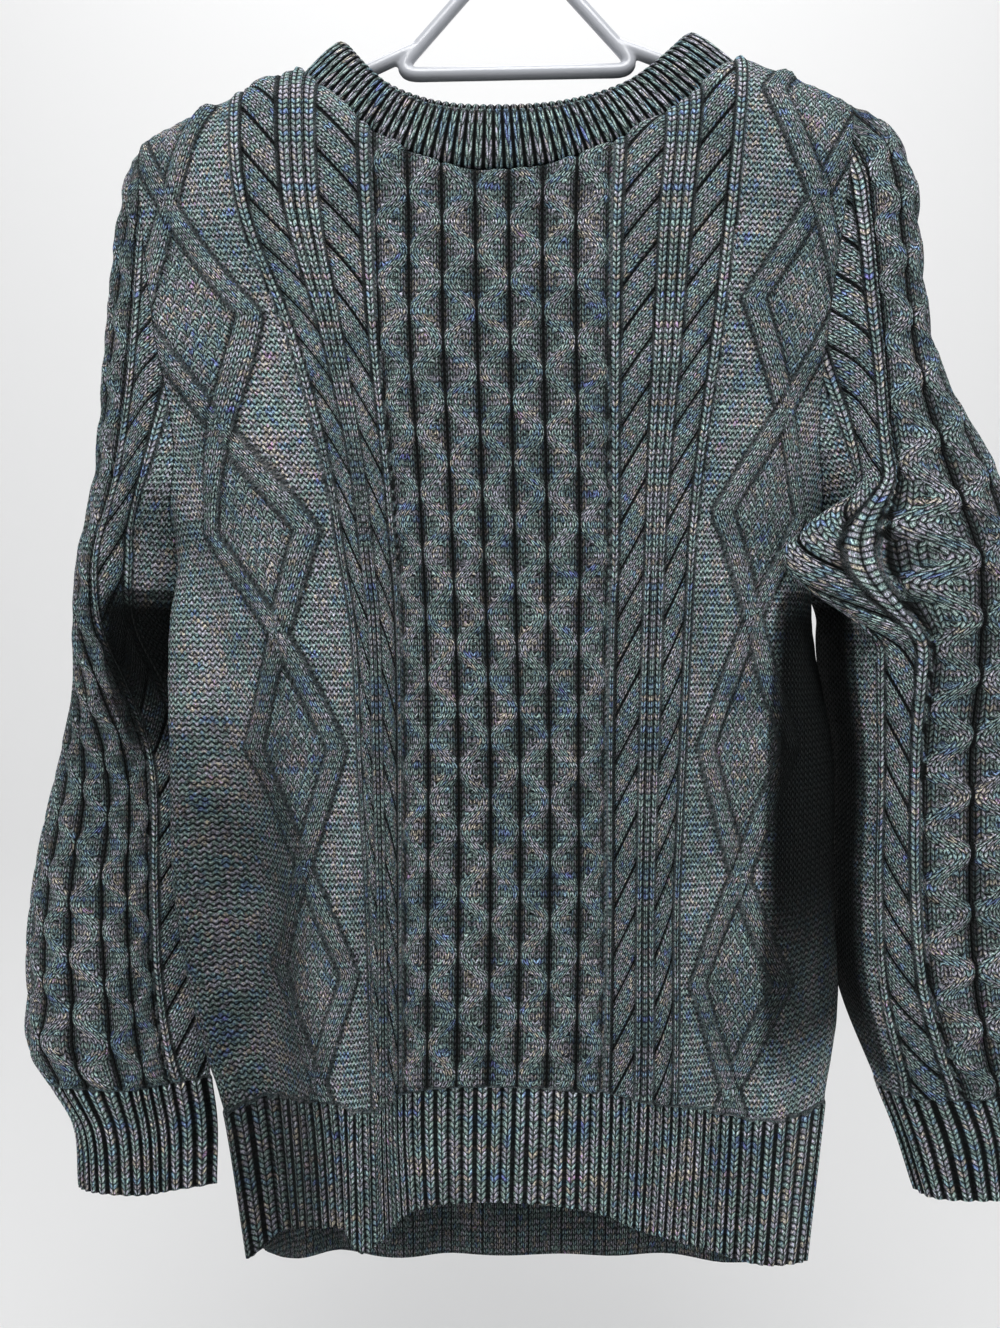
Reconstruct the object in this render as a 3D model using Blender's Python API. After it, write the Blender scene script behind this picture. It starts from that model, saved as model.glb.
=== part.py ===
"""Cable knit sweater hanging on a white tubular hanger.

The origin is the point of the hook that bears on its rail. +X is the viewer's right, the
sweater's front faces -Y and +Z is up. All lengths below are millimetres until a mesh is made.

Each knitted piece is a wall of cloth over a plan of its own: k counts millimetres of
knitting across the piece and z is the height. Section tables say where the wales k lie at
each height, the outer points carry the cables and ribs, and the inner points are plain.
"""

import math
from collections import namedtuple

import bmesh
import bpy
import numpy as np
from mathutils import Vector
from mathutils.geometry import delaunay_2d_cdt

MM = 0.001

# ------------------------------------------------------------------ cloth and pattern sizes
WALL = 3.0
CABLED_WALL = 4.8
SEAM_GAP = 0.42
BAND_GAP = 0.8
EDGE_FADE = 7.0
HALF_PANEL = 250.0
HALF_SHOULDER = 178.0
ARMHOLE_HOOK = 5

HONEY_COLUMN = 16.0
HONEY_PERIOD = 32.0
HONEY_SWAY = 4.0
HONEY_ROPE = 4.9
HONEY_RISE = 3.4
BODY_HONEY_COLUMNS = 7
SLEEVE_HONEY_COLUMNS = 5
ROPE_PITCH = 25.0
ROPE_RISE = 3.6
RIB_RISE = 1.7
CHAIN_RISE = 2.0
DIAMOND_CENTRE = 160.0
DIAMOND_REACH = 28.0
DIAMOND_CROSSINGS = {
    -1: (-830.0, -690.0, -578.0, -457.0, -349.0, -228.0, -110.0, 10.0),
    1: (-830.0, -698.0, -584.0, -448.0, -338.0, -222.0, -105.0, 10.0),
}
DIAMOND_BAND = 6.5
DIAMOND_RISE = 3.2
HEM_RIBS = 71
CUFF_RIBS = 31
CUFF_HEIGHT = 62.0

# Vertical bands of the body from the centre line out: kind, near edge and far edge in knitting.
Band = namedtuple("Band", "kind near far")
BODY_BANDS = (
    Band("chain", 57.0, 62.5),
    Band("rope", 62.5, 80.0),
    Band("rib", 80.0, 85.3),
    Band("rib", 85.3, 90.7),
    Band("rib", 90.7, 96.0),
    Band("rope", 96.0, 112.0),
    Band("chain", 112.0, 118.0),
)
SLEEVE_BANDS = (
    Band("chain", 41.0, 46.5),
    Band("rope", 46.5, 62.5),
    Band("chain", 62.5, 68.0),
)

# ------------------------------------------------------------------ hanger
TUBE = 4.0
HOOK_RADIUS = 19.0
STEM_FOOT_Z = -66.0
LOOP_TOP_HALF = 8.0
LOOP_FOOT_HALF = 70.0
LOOP_HALF = 59.0
LOOP_SHOULDER_Z = -121.5
LOOP_FOOT_Z = -135.6
ARM_END = 182.0
ARM_SLOPE = {-1: 0.46, 1: 0.37}
TILT = 0.02
CLOTH_ON_ARM = 0.6

# ------------------------------------------------------------------ body sections, bottom to top
# Widths are the x of each wale; y is the depth of the cloth there, towards the viewer negative.
Body = namedtuple(
    "Body",
    "name z side_l outer_l diamond_l chain_l honey_l centre honey_r chain_r diamond_r outer_r"
    " side_r y_side_l y_outer_l y_front y_outer_r y_side_r y_back yoke",
)
BODY = (
    Body("hem", -780, -147, -122, -98, -76, -58, -10, 42, 80, 108, 135, 159, -22, -40, -46, -37, -18, 24, 0),
    Body("welt", -715, -159, -127, -101, -77, -60, -9, 43, 83, 111, 140, 173, -25, -42, -49, -41, -6, 33, 0),
    Body("hip", -670, -172, -131, -106, -78, -60, -8, 44, 84, 113, 144, 182, -27, -44, -50, -43, 1, 37, 0),
    Body("waist", -600, -184, -136, -111, -80, -60, -7, 45, 84, 116, 146, 180, -28, -45, -51, -43, 2, 41, 0),
    Body("ribcage", -525, -187, -144, -118, -84, -60, -7, 45, 87, 119, 148, 180, -28, -45, -52, -43, 2, 43, 0),
    Body("chest", -450, -189, -156, -127, -88, -61, -9, 46, 90, 123, 150, 168, -26, -46, -53, -41, 1, 44, 0),
    Body("underarm", -415, -188, -163, -137, -94, -63, -10, 47, 92, 128, 152, 166, -16, -47, -53, -37, -8, 44, 0.2),
    Body("armhole", -375, -192, -175, -149, -101, -66, -11, 47, 96, 134, 156, 172, -36, -47, -52, -36, -18, 43, 1),
    Body("yoke", -300, -220, -205, -170, -122, -73, -13, 47, 107, 148, 175, 195, -36, -42, -49, -32, -26, 41, 1),
    Body("shoulder", -230, -235, -217, -186, -149, -76, -14, 48, 116, 160, 190, 212, -24, -30, -45, -26, -20, 37, 1),
    Body("top", -170, -240, -218, -192, -156, -78, -14, 50, 125, 166, 202, 228, 0, 0, 0, 0, 0, 0, 1),
)
WALES = np.array([-250, -222, -194, -160, -118, -56, 0, 56, 118, 160, 194, 222, 250.0])
SEAM_TUCK = 4.0
SEAM_BEHIND = 14.0
UNDERARM_Z = -415.0
ROLL = 3.0

# The front hem's line: knitting across and height.
HemPoint = namedtuple("HemPoint", "k z")
FRONT_HEM = (
    HemPoint(-250, -799), HemPoint(-222, -797), HemPoint(-196, -783), HemPoint(-168, -770),
    HemPoint(-150, -767), HemPoint(-132, -777), HemPoint(-108, -776), HemPoint(-80, -768),
    HemPoint(-30, -757), HemPoint(20, -757), HemPoint(62, -763), HemPoint(112, -774),
    HemPoint(155, -785), HemPoint(196, -795), HemPoint(222, -802), HemPoint(250, -803),
)
BACK_HEM = (
    HemPoint(-250, -799), HemPoint(-215, -809), HemPoint(-150, -818), HemPoint(0, -819),
    HemPoint(150, -821), HemPoint(215, -812), HemPoint(250, -803),
)
WELT_TOP_Z = -694.0
WELT_TOP_SLOPE = 0.55
HEM_CREST_Z = -757.0

# Folds: where the crest or trough runs in the knitting, how wide it is and how far it stands out.
Fold = namedtuple("Fold", "name k_top k_foot z_top z_foot half_width rise")
FRONT_FOLDS = (
    Fold("left side roll", -226, -224, -440, -830, 24, 5),
    Fold("left valley", -198, -196, -500, -830, 30, -15),
    Fold("left crest", -150, -142, -560, -830, 40, 8),
    Fold("left cable roll", -88, -88, -330, -800, 32, 6),
    Fold("right cable roll", 90, 88, -380, -800, 34, 4),
    Fold("right flank", 150, 150, -440, -800, 26, -3),
    Fold("armhole valley left", -176, -206, -290, -470, 20, -6),
    Fold("hem pleat", -128, -130, -690, -830, 18, 5),
)
BACK_FOLDS = (
    Fold("left drape", -120, -130, -330, -840, 44, 8),
    Fold("left hollow", -60, -66, -360, -840, 40, -5),
    Fold("spine hollow", 10, 0, -300, -840, 46, -4),
    Fold("right drape", 95, 110, -340, -840, 44, 7),
)

# ------------------------------------------------------------------ neck
NECK_X = -15.0
Neck = namedtuple("Neck", "reach_l reach_r y_front y_back z_front z_back z_side_l z_side_r power")
BAND_TOP = Neck(83, 112, -33, 24, -175, -143, -122, -117, 2.7)
BAND_RIB = 6.6
NeckPoint = namedtuple("NeckPoint", "out up ribbed")
BAND_SECTION = (
    NeckPoint(2.3, 0.0, 1), NeckPoint(3.2, 0.78, 1), NeckPoint(-0.2, 1.0, 1), NeckPoint(-2.6, 0.0, 0),
)

# ------------------------------------------------------------------ sleeve sections, bottom to top
# The front, outer and back spots are the cables' crests, and the cloth's base lies CABLE_EASE inside.
# knit is half the sleeve's knitting round and turn how far its honeycomb turns to the front.
Sleeve = namedtuple(
    "Sleeve", "z front_x front_y outer_x outer_y back_x back_y inner_x inner_y knit turn"
)
SLEEVES = {
    -1: (
        Sleeve(-777, -217, 2, -258, 18, -217, 34, -176, 18, 90, 40),
        Sleeve(-740, -219, 1, -262, 19, -219, 37, -176, 19, 92, 42),
        Sleeve(-712, -224, -3, -278, 20, -224, 42, -180, 21, 112, 52),
        Sleeve(-655, -229, -5, -288, 22, -229, 47, -182, 27, 128, 58),
        Sleeve(-600, -230, -6, -284, 22, -229, 49, -182, 28, 130, 58),
        Sleeve(-525, -228, -11, -266, 18, -226, 49, -191, 26, 126, 56),
        Sleeve(-485, -231, -26, -252, 10, -226, 47, -196, 18, 122, 46),
        Sleeve(-450, -231, -38, -247, 5, -222, 45, -195, 6, 118, 30),
        Sleeve(-415, -223, -44, -244, 2, -212, 43, -190, -1, 106, 12),
        Sleeve(-375, -212, -46, -236, 0, -210, 41, -190, -1, 82, 0),
        Sleeve(-300, -213, -41, -228, 0, -211, 38, -190, -1, 56, 0),
        Sleeve(-230, -212, -30, -223, 0, -211, 28, -190, -1, 42, 0),
        Sleeve(-206, -212, -22, -220, 0, -211, 20, -190, -1, 32, 0),
        Sleeve(-192, -210.5, -12, -215, 0, -210.5, 11, -190, -1, 20, 0),
        Sleeve(-182, -208.6, -2, -209.6, 0, -208.6, 2, -190, -1, 8, 0),
    ),
    1: (
        Sleeve(-775, 270, -8, 311, 14, 270, 34, 229, 8, 90, 20),
        Sleeve(-740, 264, -11, 315, 15, 266, 37, 217, 5, 92, 22),
        Sleeve(-712, 252, -20, 320, 17, 262, 42, 206, 6, 112, 26),
        Sleeve(-655, 225, -31, 326, 16, 255, 45, 186, 15, 128, 30),
        Sleeve(-600, 216, -37, 324, 15, 250, 47, 182, 17, 130, 30),
        Sleeve(-525, 213, -42, 319, 15, 248, 48, 183, 16, 128, 28),
        Sleeve(-450, 206, -51, 311, 15, 242, 48, 174, 14, 124, 20),
        Sleeve(-415, 198, -56, 304, 15, 236, 48, 180, -2, 114, 14),
        Sleeve(-375, 194, -56, 288, 14, 230, 46, 180, -2, 96, 10),
        Sleeve(-300, 200, -49, 243, 8, 222, 41, 180, -2, 66, 4),
        Sleeve(-230, 202, -38, 230, 2, 212, 32, 180, -2, 50, 0),
        Sleeve(-200, 204, -29, 227, 0, 210, 25, 180, -2, 44, 0),
        Sleeve(-180, 202, -19, 219, 0, 206, 17, 180, -2, 34, 0),
        Sleeve(-166, 195, -10, 206, 0, 197, 10, 180, -2, 20, 0),
        Sleeve(-154, 185.6, -2, 187.0, 0, 185.6, 2, 180, -2, 8, 0),
    ),
}
ROUND = np.array([-1, -0.82, -0.55, -0.28, 0, 0.28, 0.55, 0.82, 1.0])
CABLE_EASE = 3.0
FULLNESS = {-1: 0.72, 1: 0.60}
# The inner corners of the section are this full, and the right sleeve's are fuller below the arm.
INNER_FULLNESS = 0.5
POCKET_FULLNESS = {-1: 0.0, 1: 0.3}
POCKET_DROP = 20.0
POCKET_EASE = 40.0

# Soft lumps of the sleeves: where round the sleeve and how high, their reach and their push.
Lump = namedtuple("Lump", "name turn z half_turn half_z push_x push_y")
SLEEVE_LUMPS = {
    -1: (
        Lump("elbow crease", -0.5, -560, 0.3, 40, 0, 4),
        Lump("cuff blouse", -0.2, -690, 0.5, 26, -4, -3),
    ),
    1: (
        Lump("underarm flap", -0.63, -419, 0.30, 48, -51, 0),
        Lump("underarm flap forward", -0.62, -419, 0.36, 48, 0, -14),
        Lump("elbow crease", -0.3, -560, 0.3, 44, 3, 4),
        Lump("cuff blouse", -0.4, -690, 0.5, 26, -3, -4),
    ),
}

# Rows up an armhole, as shares of its height: close together where it turns under the arm.
ARMHOLE_ROWS = np.array([
    0.008, 0.025, 0.055, 0.1, 0.16, 0.23, 0.3, 0.38, 0.46, 0.54, 0.62, 0.7, 0.77, 0.83, 0.88, 0.92, 0.95,
    0.975, 0.99, 0.997,
])
BESIDE_ARMHOLE = 6.0
FLAP_TURNS = np.array([-0.95, -0.72, -0.5, -0.3, -0.12, 0.05, 0.25, 0.55, 0.9, 1.4])
FLAP_LEVELS = np.array([-0.95, -0.7, -0.46, -0.24, -0.04, 0.18, 0.4, 0.62, 0.88])
# Extra points of the front's plain inside, where its folds turn sharply.
CREASE_WALES = (-209.0, -196.0, -187.0, -172.0, -128.0, -110.0, 192.0)
SIDE_WALES = (203.0, 215.0, 227.0, 240.0)
SIDE_STEP = 46.0
CREASE_STEP = 25.0
CREASE_FOOT = -765.0
CREASE_HIGH = -436.0
Spot = namedtuple("Spot", "k v")
FRONT_TURNS = (
    Spot(208, -590), Spot(209, -574), Spot(196, -582), Spot(-203, -574), Spot(-203, -563), Spot(-203, -552),
    Spot(-118, -734),
)

KNIT_COLOR = (0.085, 0.115, 0.12, 1.0)
HANGER_COLOR = (0.83, 0.84, 0.88, 1.0)


# ------------------------------------------------------------------ interpolation
def hermite(knots, values, at):
    """Smooth curve through values at knots, read at the positions given; straight past the ends."""
    knots = np.asarray(knots, float)
    values = np.asarray(values, float)
    at = np.clip(np.asarray(at, float), knots[0], knots[-1])
    steps = np.diff(knots)
    slopes = np.diff(values, axis=0) / steps.reshape((-1,) + (1,) * (values.ndim - 1))
    tangents = np.concatenate([slopes[:1], 0.5 * (slopes[:-1] + slopes[1:]), slopes[-1:]])
    span = np.clip(np.searchsorted(knots, at, side="right") - 1, 0, len(knots) - 2)
    shape = (-1,) + (1,) * (values.ndim - 1)
    t = ((at - knots[span]) / steps[span]).reshape(shape)
    width = steps[span].reshape(shape)
    start = values[span] * (1 + 2 * t) * (1 - t) ** 2 + tangents[span] * width * t * (1 - t) ** 2
    end = values[span + 1] * t**2 * (3 - 2 * t) - tangents[span + 1] * width * t**2 * (1 - t)
    return start + end


def column(rows, field):
    """One named column of a table of rows."""
    return np.array([getattr(row, field) for row in rows], float)


def unit(vectors):
    """Vectors scaled to length one."""
    return vectors / np.maximum(np.linalg.norm(vectors, axis=-1, keepdims=True), 1e-9)


def smooth(t):
    """Smooth step from 0 to 1."""
    t = np.clip(t, 0.0, 1.0)
    return t * t * (3 - 2 * t)


# ------------------------------------------------------------------ neckline and shoulders
def arm_z(x):
    """Height of the axis of the hanger's arms."""
    x = np.asarray(x, float)
    slope = np.where(x < 0, ARM_SLOPE[-1], ARM_SLOPE[1])
    return LOOP_SHOULDER_Z + np.sign(x) * TILT * LOOP_HALF - slope * (np.abs(x) - LOOP_HALF)


def shoulder_z(x):
    """Height of the shoulder seam's outer face, lying on the hanger's arm."""
    x = np.asarray(x, float)
    slope = np.where(x < 0, ARM_SLOPE[-1], ARM_SLOPE[1])
    return arm_z(x) + (TUBE + CLOTH_ON_ARM + WALL) * np.hypot(1, slope)


BAND_FOOT = Neck(
    106, 139, -40, 30, -210, -170, float(shoulder_z(NECK_X - 106)), float(shoulder_z(NECK_X + 139)), 2.0
)


def neck_curve(neck, side, psi):
    """Points of a neck ring: side is -1 at the front and 1 at the back, psi runs -90 to 90 degrees."""
    sine = np.sin(psi)
    reach = np.where(sine < 0, neck.reach_l, neck.reach_r)
    low = neck.z_front if side < 0 else neck.z_back
    high = np.where(sine < 0, neck.z_side_l, neck.z_side_r)
    y_deep = neck.y_front if side < 0 else neck.y_back
    x = NECK_X + reach * sine
    y = y_deep * np.cos(psi)
    z = low + (high - low) * np.abs(sine) ** neck.power
    return np.stack([x, y, z], axis=-1)


def top_edge(side, k):
    """x, y and z of a panel's top edge: neckline in the middle, shoulder seams outside it."""
    x = hermite(WALES, body_x(BODY[-1]), k)
    reach = np.where(x < NECK_X, BAND_FOOT.reach_l, BAND_FOOT.reach_r)
    sine = np.clip((x - NECK_X) / reach, -1, 1)
    neck = neck_curve(BAND_FOOT, side, np.arcsin(sine))
    in_neck = np.abs((x - NECK_X) / reach) < 1
    gap = side * SEAM_GAP / 2
    y = np.where(in_neck, neck[:, 1] + gap, gap)
    z = np.where(in_neck, neck[:, 2], shoulder_z(x))
    return x, y, z


def tip_z(hand):
    """Height of the shoulder's tip, where the armhole begins."""
    return float(shoulder_z(np.array([TIP_X[hand]]))[0])


# ------------------------------------------------------------------ body surface
def body_x(row):
    """x of each wale of the front at a level, from seam to seam."""
    middle = [getattr(row, f"{name}_l") for name in ("side", "outer", "diamond", "chain", "honey")]
    other = [getattr(row, f"{name}_r") for name in ("honey", "chain", "diamond", "outer", "side")]
    return np.array([row.side_l + SEAM_TUCK] + middle + [row.centre] + other + [row.side_r - SEAM_TUCK])


def front_y(row):
    """Depth of each wale of the front at a level."""
    soft_l = 0.4 * row.y_outer_l + 0.6 * row.y_front
    soft_r = 0.4 * row.y_outer_r + 0.6 * row.y_front
    left = [row.y_side_l + SEAM_BEHIND, row.y_side_l, row.y_outer_l, soft_l, row.y_front, row.y_front]
    right = [row.y_front, row.y_front, soft_r, row.y_outer_r, row.y_side_r, row.y_side_r + SEAM_BEHIND]
    return np.array(left + [row.y_front] + right)


def back_xy(row):
    """The back's wales: an ellipse quarter from each side seam below the arms, flat in the yoke."""
    x_front = body_x(row)
    y_front = front_y(row)
    x = x_front.copy()
    y = np.full(len(WALES), float(row.y_back))
    for index, wale in enumerate(WALES):
        if abs(wale) < 56:
            continue
        seam = 0 if wale < 0 else -1
        honey = 5 if wale < 0 else 7
        angle = (HALF_PANEL - abs(wale)) / (HALF_PANEL - 56) * math.pi / 2
        x_round = x_front[seam] + (x_front[honey] - x_front[seam]) * (1 - math.cos(angle))
        y_round = y_front[seam] + (row.y_back - y_front[seam]) * math.sin(angle)
        y_yoke = row.y_back * (1 - 0.35 * smooth((abs(wale) - 118) / 110))
        outer = x_front[seam + (2 if wale < 0 else -2)]
        even = x_front[honey] + (outer - x_front[honey]) * (abs(wale) - 56) / 138
        x_flat = 0.4 * x_front[index] + 0.6 * even
        x[index] = x_round + (x_flat - x_round) * row.yoke
        y[index] = y_round + (y_yoke - y_round) * row.yoke
    x[[0, -1]] = x_front[[0, -1]]
    y[[0, -1]] = y_front[[0, -1]]
    return x, y


LEVELS = column(BODY, "z")
YOKE_Z = LEVELS[-2]
BODY_X = {-1: np.array([body_x(row) for row in BODY]), 1: np.array([back_xy(row)[0] for row in BODY])}
BODY_Y = {-1: np.array([front_y(row) for row in BODY]), 1: np.array([back_xy(row)[1] for row in BODY])}
BODY_X[1][-1] = BODY_X[-1][-1]
TIP_X = {
    hand: float(hermite(WALES, BODY_X[-1][-1], [hand * HALF_SHOULDER])[0]) for hand in (-1, 1)
}


def hem_z(side, k):
    """Height of a panel's hem."""
    rows = FRONT_HEM if side < 0 else BACK_HEM
    return hermite(column(rows, "k"), column(rows, "z"), k)


def welt_z(side, k):
    """Height where the ribbed welt ends and the cables begin."""
    return WELT_TOP_Z + WELT_TOP_SLOPE * (hem_z(-1, k) - HEM_CREST_Z)


def folds(rows, k, z):
    """How far the cloth stands out at each point, the sum of its soft folds."""
    out = np.zeros_like(k)
    for fold in rows:
        t = np.clip((fold.z_top - z) / (fold.z_top - fold.z_foot), 0, 1)
        centre = fold.k_top + (fold.k_foot - fold.k_top) * t
        across = np.clip(np.abs(k - centre) / fold.half_width, 0, 1)
        out += fold.rise * np.cos(across * math.pi / 2) ** 2 * smooth(t * 4)
    return out


def row_interp(at, knots, values):
    """Each row's own straight-line interpolation, read at one position a row."""
    index = np.clip((knots <= at[:, None]).sum(axis=1) - 1, 0, knots.shape[1] - 2)
    row = np.arange(len(at))
    low, high = knots[row, index], knots[row, index + 1]
    share = np.clip((at - low) / np.maximum(high - low, 1e-9), 0, 1)
    return values[row, index] * (1 - share) + values[row, index + 1] * share


def shoulder_roll(side, k):
    """Heights, turns over and knitted lengths from the yoke over the roll to a panel's top edge."""
    _, y_top, z_top = top_edge(side, k)
    y_yoke = hermite(WALES, BODY_Y[side][-2], k)
    angle = np.linspace(0, math.pi / 2, 41)
    up = np.sin(angle) ** (2 / ROLL)
    over = np.broadcast_to(1 - np.cos(angle) ** (2 / ROLL), (len(k), len(angle)))
    z = (z_top - YOKE_Z)[:, None] * up
    y = np.abs(y_top - y_yoke)[:, None] * over
    steps = np.hypot(np.diff(z, axis=1), np.diff(y, axis=1))
    length = np.concatenate([np.zeros((len(k), 1)), np.cumsum(steps, axis=1)], axis=1)
    return YOKE_Z + z, over, YOKE_Z + length


def top_v(side, k):
    """Knitted height of a panel's top edge."""
    return shoulder_roll(side, np.asarray(k, float))[2][:, -1]


def knitted_v(side, k, z):
    """Knitted height of a panel's point that lies at height z."""
    heights, _, lengths = shoulder_roll(side, np.asarray(k, float))
    return np.where(z > YOKE_Z, row_interp(z, heights, lengths), z)


def height_z(side, k, v):
    """Height of a panel's point at knitted height v."""
    heights, _, lengths = shoulder_roll(side, np.asarray(k, float))
    return np.where(v > YOKE_Z, row_interp(v, lengths, heights), v)


def body_point(side, k, v):
    """Outer face of the front (side -1) or the back (side 1) at wale k and knitted height v."""
    k = np.asarray(k, float)
    v = np.asarray(v, float)
    _, y_top, z_top = top_edge(side, k)
    heights, turns, lengths = shoulder_roll(side, k)
    z = np.where(v > YOKE_Z, row_interp(v, lengths, heights), v)
    roll = np.where(v > YOKE_Z, row_interp(v, lengths, turns), 0)
    upper = np.clip((z - YOKE_Z) / (z_top - YOKE_Z), 0, 1)
    lower = np.clip((LEVELS[1] - z) / (LEVELS[1] - hem_z(side, k)), 0, 1)
    nominal = np.where(z > YOKE_Z, YOKE_Z + upper * (LEVELS[-1] - YOKE_Z), z)
    nominal = np.where(z < LEVELS[1], LEVELS[1] + lower * (LEVELS[0] - LEVELS[1]), nominal)
    across = hermite(WALES, np.eye(len(WALES)), k)
    x = (across * hermite(LEVELS, BODY_X[side], nominal)).sum(axis=1)
    rows_y = hermite(LEVELS[:-1], BODY_Y[side][:-1], np.minimum(nominal, YOKE_Z))
    y = (across * rows_y).sum(axis=1)
    calm = smooth((HALF_PANEL - 6 - np.abs(k)) / 30) * smooth((YOKE_Z - 10 - z) / 60)
    y = y + side * folds(FRONT_FOLDS if side < 0 else BACK_FOLDS, k, z) * calm
    y = y + (y_top - y) * roll
    y = y + np.where(np.abs(k) > HALF_PANEL - 1e-6, side * SEAM_GAP / 2, 0) * (z <= UNDERARM_Z)
    return np.stack([x, y, z], axis=-1)


def armhole_k(hand, z):
    """Wale where the armhole cuts a panel at height z, and the side seam below it."""
    share = np.clip((tip_z(hand) - z) / (tip_z(hand) - UNDERARM_Z), 0, 1)
    return HALF_SHOULDER + (HALF_PANEL - HALF_SHOULDER) * share**ARMHOLE_HOOK


def armhole_point(side, hand, z):
    """A panel's armhole edge at height z."""
    z = np.asarray(z, float)
    k = hand * armhole_k(hand, z)
    return body_point(side, k, knitted_v(side, k, z))


def normals_of(surface, k, z, step=0.6):
    """Outward normals of a surface given by a function of (k, z)."""
    across = surface(k + step, z) - surface(k - step, z)
    up = surface(k, z + step) - surface(k, z - step)
    return unit(np.cross(across, up))


def body_normal(side, k, v):
    """Outward normals of a panel."""
    v = np.minimum(v, top_v(side, k) - 1.0)
    k = np.clip(k, -HALF_PANEL + 1, HALF_PANEL - 1)
    return -side * normals_of(lambda a, b: body_point(side, a, b), k, v)


# ------------------------------------------------------------------ sleeve surface
def sleeve_point(hand, turn, z):
    """Outer face of a sleeve: turn goes -1 at the front seam, 0 at the outer line, 1 at the back."""
    rows = SLEEVES[hand]
    turn = np.asarray(turn, float)
    z = np.asarray(z, float)
    levels = column(rows, "z")
    high = tip_z(hand)
    section = {name: hermite(levels, column(rows, name), z) for name in Sleeve._fields[1:9]}
    inner = np.stack([section["inner_x"], section["inner_y"]], axis=-1)
    arm = np.clip(z, UNDERARM_Z, high)
    crotch = np.full_like(z, UNDERARM_Z)
    foot = (armhole_point(-1, hand, crotch)[:, :2] + armhole_point(1, hand, crotch)[:, :2]) / 2
    shift = np.array([hand * SEAM_GAP, 0.0])
    above = (z > UNDERARM_Z + 1e-6)[:, None]
    row_foot = hermite(levels, column(rows, "inner_x"), crotch)
    row_foot_y = hermite(levels, column(rows, "inner_y"), crotch)
    ease = smooth((z - (UNDERARM_Z - 35)) / 35)[:, None]
    inner = inner + ease * (foot - np.stack([row_foot, row_foot_y], axis=-1))
    seam_f = np.where(above, armhole_point(-1, hand, arm)[:, :2], inner) + shift
    seam_b = np.where(above, armhole_point(1, hand, arm)[:, :2], inner) + shift
    ease = CABLE_EASE * smooth((high - z) / 30)
    front = np.stack([section["front_x"], section["front_y"] + 0.7 * ease], axis=-1)
    outer = np.stack([section["outer_x"] - hand * ease, section["outer_y"]], axis=-1)
    back = np.stack([section["back_x"], section["back_y"] - 0.7 * ease], axis=-1)

    def corner(along_y, along_x, full):
        x = along_x[:, 0] + (along_y[:, 0] - along_x[:, 0]) * full
        y = along_y[:, 1] + (along_x[:, 1] - along_y[:, 1]) * full
        return np.stack([x, y], axis=-1)

    full = FULLNESS[hand]
    inside = INNER_FULLNESS + POCKET_FULLNESS[hand] * smooth((UNDERARM_Z - POCKET_DROP - z) / POCKET_EASE)
    ring = [
        seam_f, corner(seam_f, front, inside), front, corner(outer, front, full), outer,
        corner(outer, back, 0.72), back, corner(seam_b, back, inside), seam_b,
    ]
    weights = hermite(ROUND, np.eye(len(ROUND)), turn)
    xy = sum(weights[:, index, None] * spot for index, spot in enumerate(ring))
    for lump in SLEEVE_LUMPS[hand]:
        near = np.clip(np.abs(turn - lump.turn) / lump.half_turn, 0, 1)
        level = np.clip(np.abs(z - lump.z) / lump.half_z, 0, 1)
        push = np.cos(near * math.pi / 2) ** 2 * np.cos(level * math.pi / 2) ** 2
        xy = xy + push[:, None] * np.array([lump.push_x, lump.push_y])
    return np.concatenate([xy, z[:, None]], axis=1)


def sleeve_normal(hand, turn, z):
    """Outward normals, the same on both sides of the sleeve's own seam."""
    z = np.clip(z, SLEEVES[hand][0].z + 1, tip_z(hand) - 1)
    surface = lambda a, b: sleeve_point(hand, a, b)
    turn = np.clip(turn, -0.97, 0.97)
    direct = normals_of(lambda a, b: surface(a / 100, b), turn * 100, z)
    other = normals_of(lambda a, b: surface(a / 100, b), -turn * 100, z)
    near_seam = ((np.abs(turn) > 0.965) & (z < UNDERARM_Z))[:, None]
    normal = np.where(near_seam, unit(direct + other), direct)
    return hand * normal


def armhole_rim(side, hand, z):
    """The shared direction of both walls where sleeve and panel meet."""
    z = np.asarray(z, float)
    k = hand * (armhole_k(hand, z) - 3)
    from_body = body_normal(side, k, knitted_v(side, k, z))
    from_sleeve = sleeve_normal(hand, np.full(len(z), side * 0.96), z)
    low = smooth((UNDERARM_Z + 40 - z) / 40)[:, None]
    tip = smooth((z - tip_z(hand) + 8) / 8)[:, None]
    bias = low * np.array([0, 0, -1.2]) + tip * np.array([hand * 0.2, 0, 1.6])
    return unit(from_body + from_sleeve + bias)


# ------------------------------------------------------------------ knitted relief
def honeycomb(k, z, columns):
    """Ropes that sway against their neighbours, so they meet and part down each ladder line."""
    rise = np.zeros_like(k)
    for index in range(columns):
        centre = (index - (columns - 1) / 2) * HONEY_COLUMN
        sway = HONEY_SWAY * (-1) ** index * np.cos(2 * math.pi * z / HONEY_PERIOD)
        off = (k - centre - sway) / HONEY_ROPE
        rise = np.maximum(rise, HONEY_RISE * np.sqrt(np.clip(1 - off**2, 0, 1)))
    return rise


def rope(k, z, near, far, hand):
    """A two-strand cable: strands cross on the slant once a pitch."""
    x = (2 * k - near - far) / (far - near)
    wave = 0.64 + 0.36 * np.cos(2 * math.pi * (z / ROPE_PITCH - hand * x / 2))
    return ROPE_RISE * np.sqrt(np.clip(1 - x**2, 0, 1)) * wave


def ridge(k, near, far, height):
    """A plain raised rib between near and far."""
    x = np.clip(np.abs(2 * k - near - far) / (far - near), 0, 1)
    return height * np.cos(x * math.pi / 2)


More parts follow.
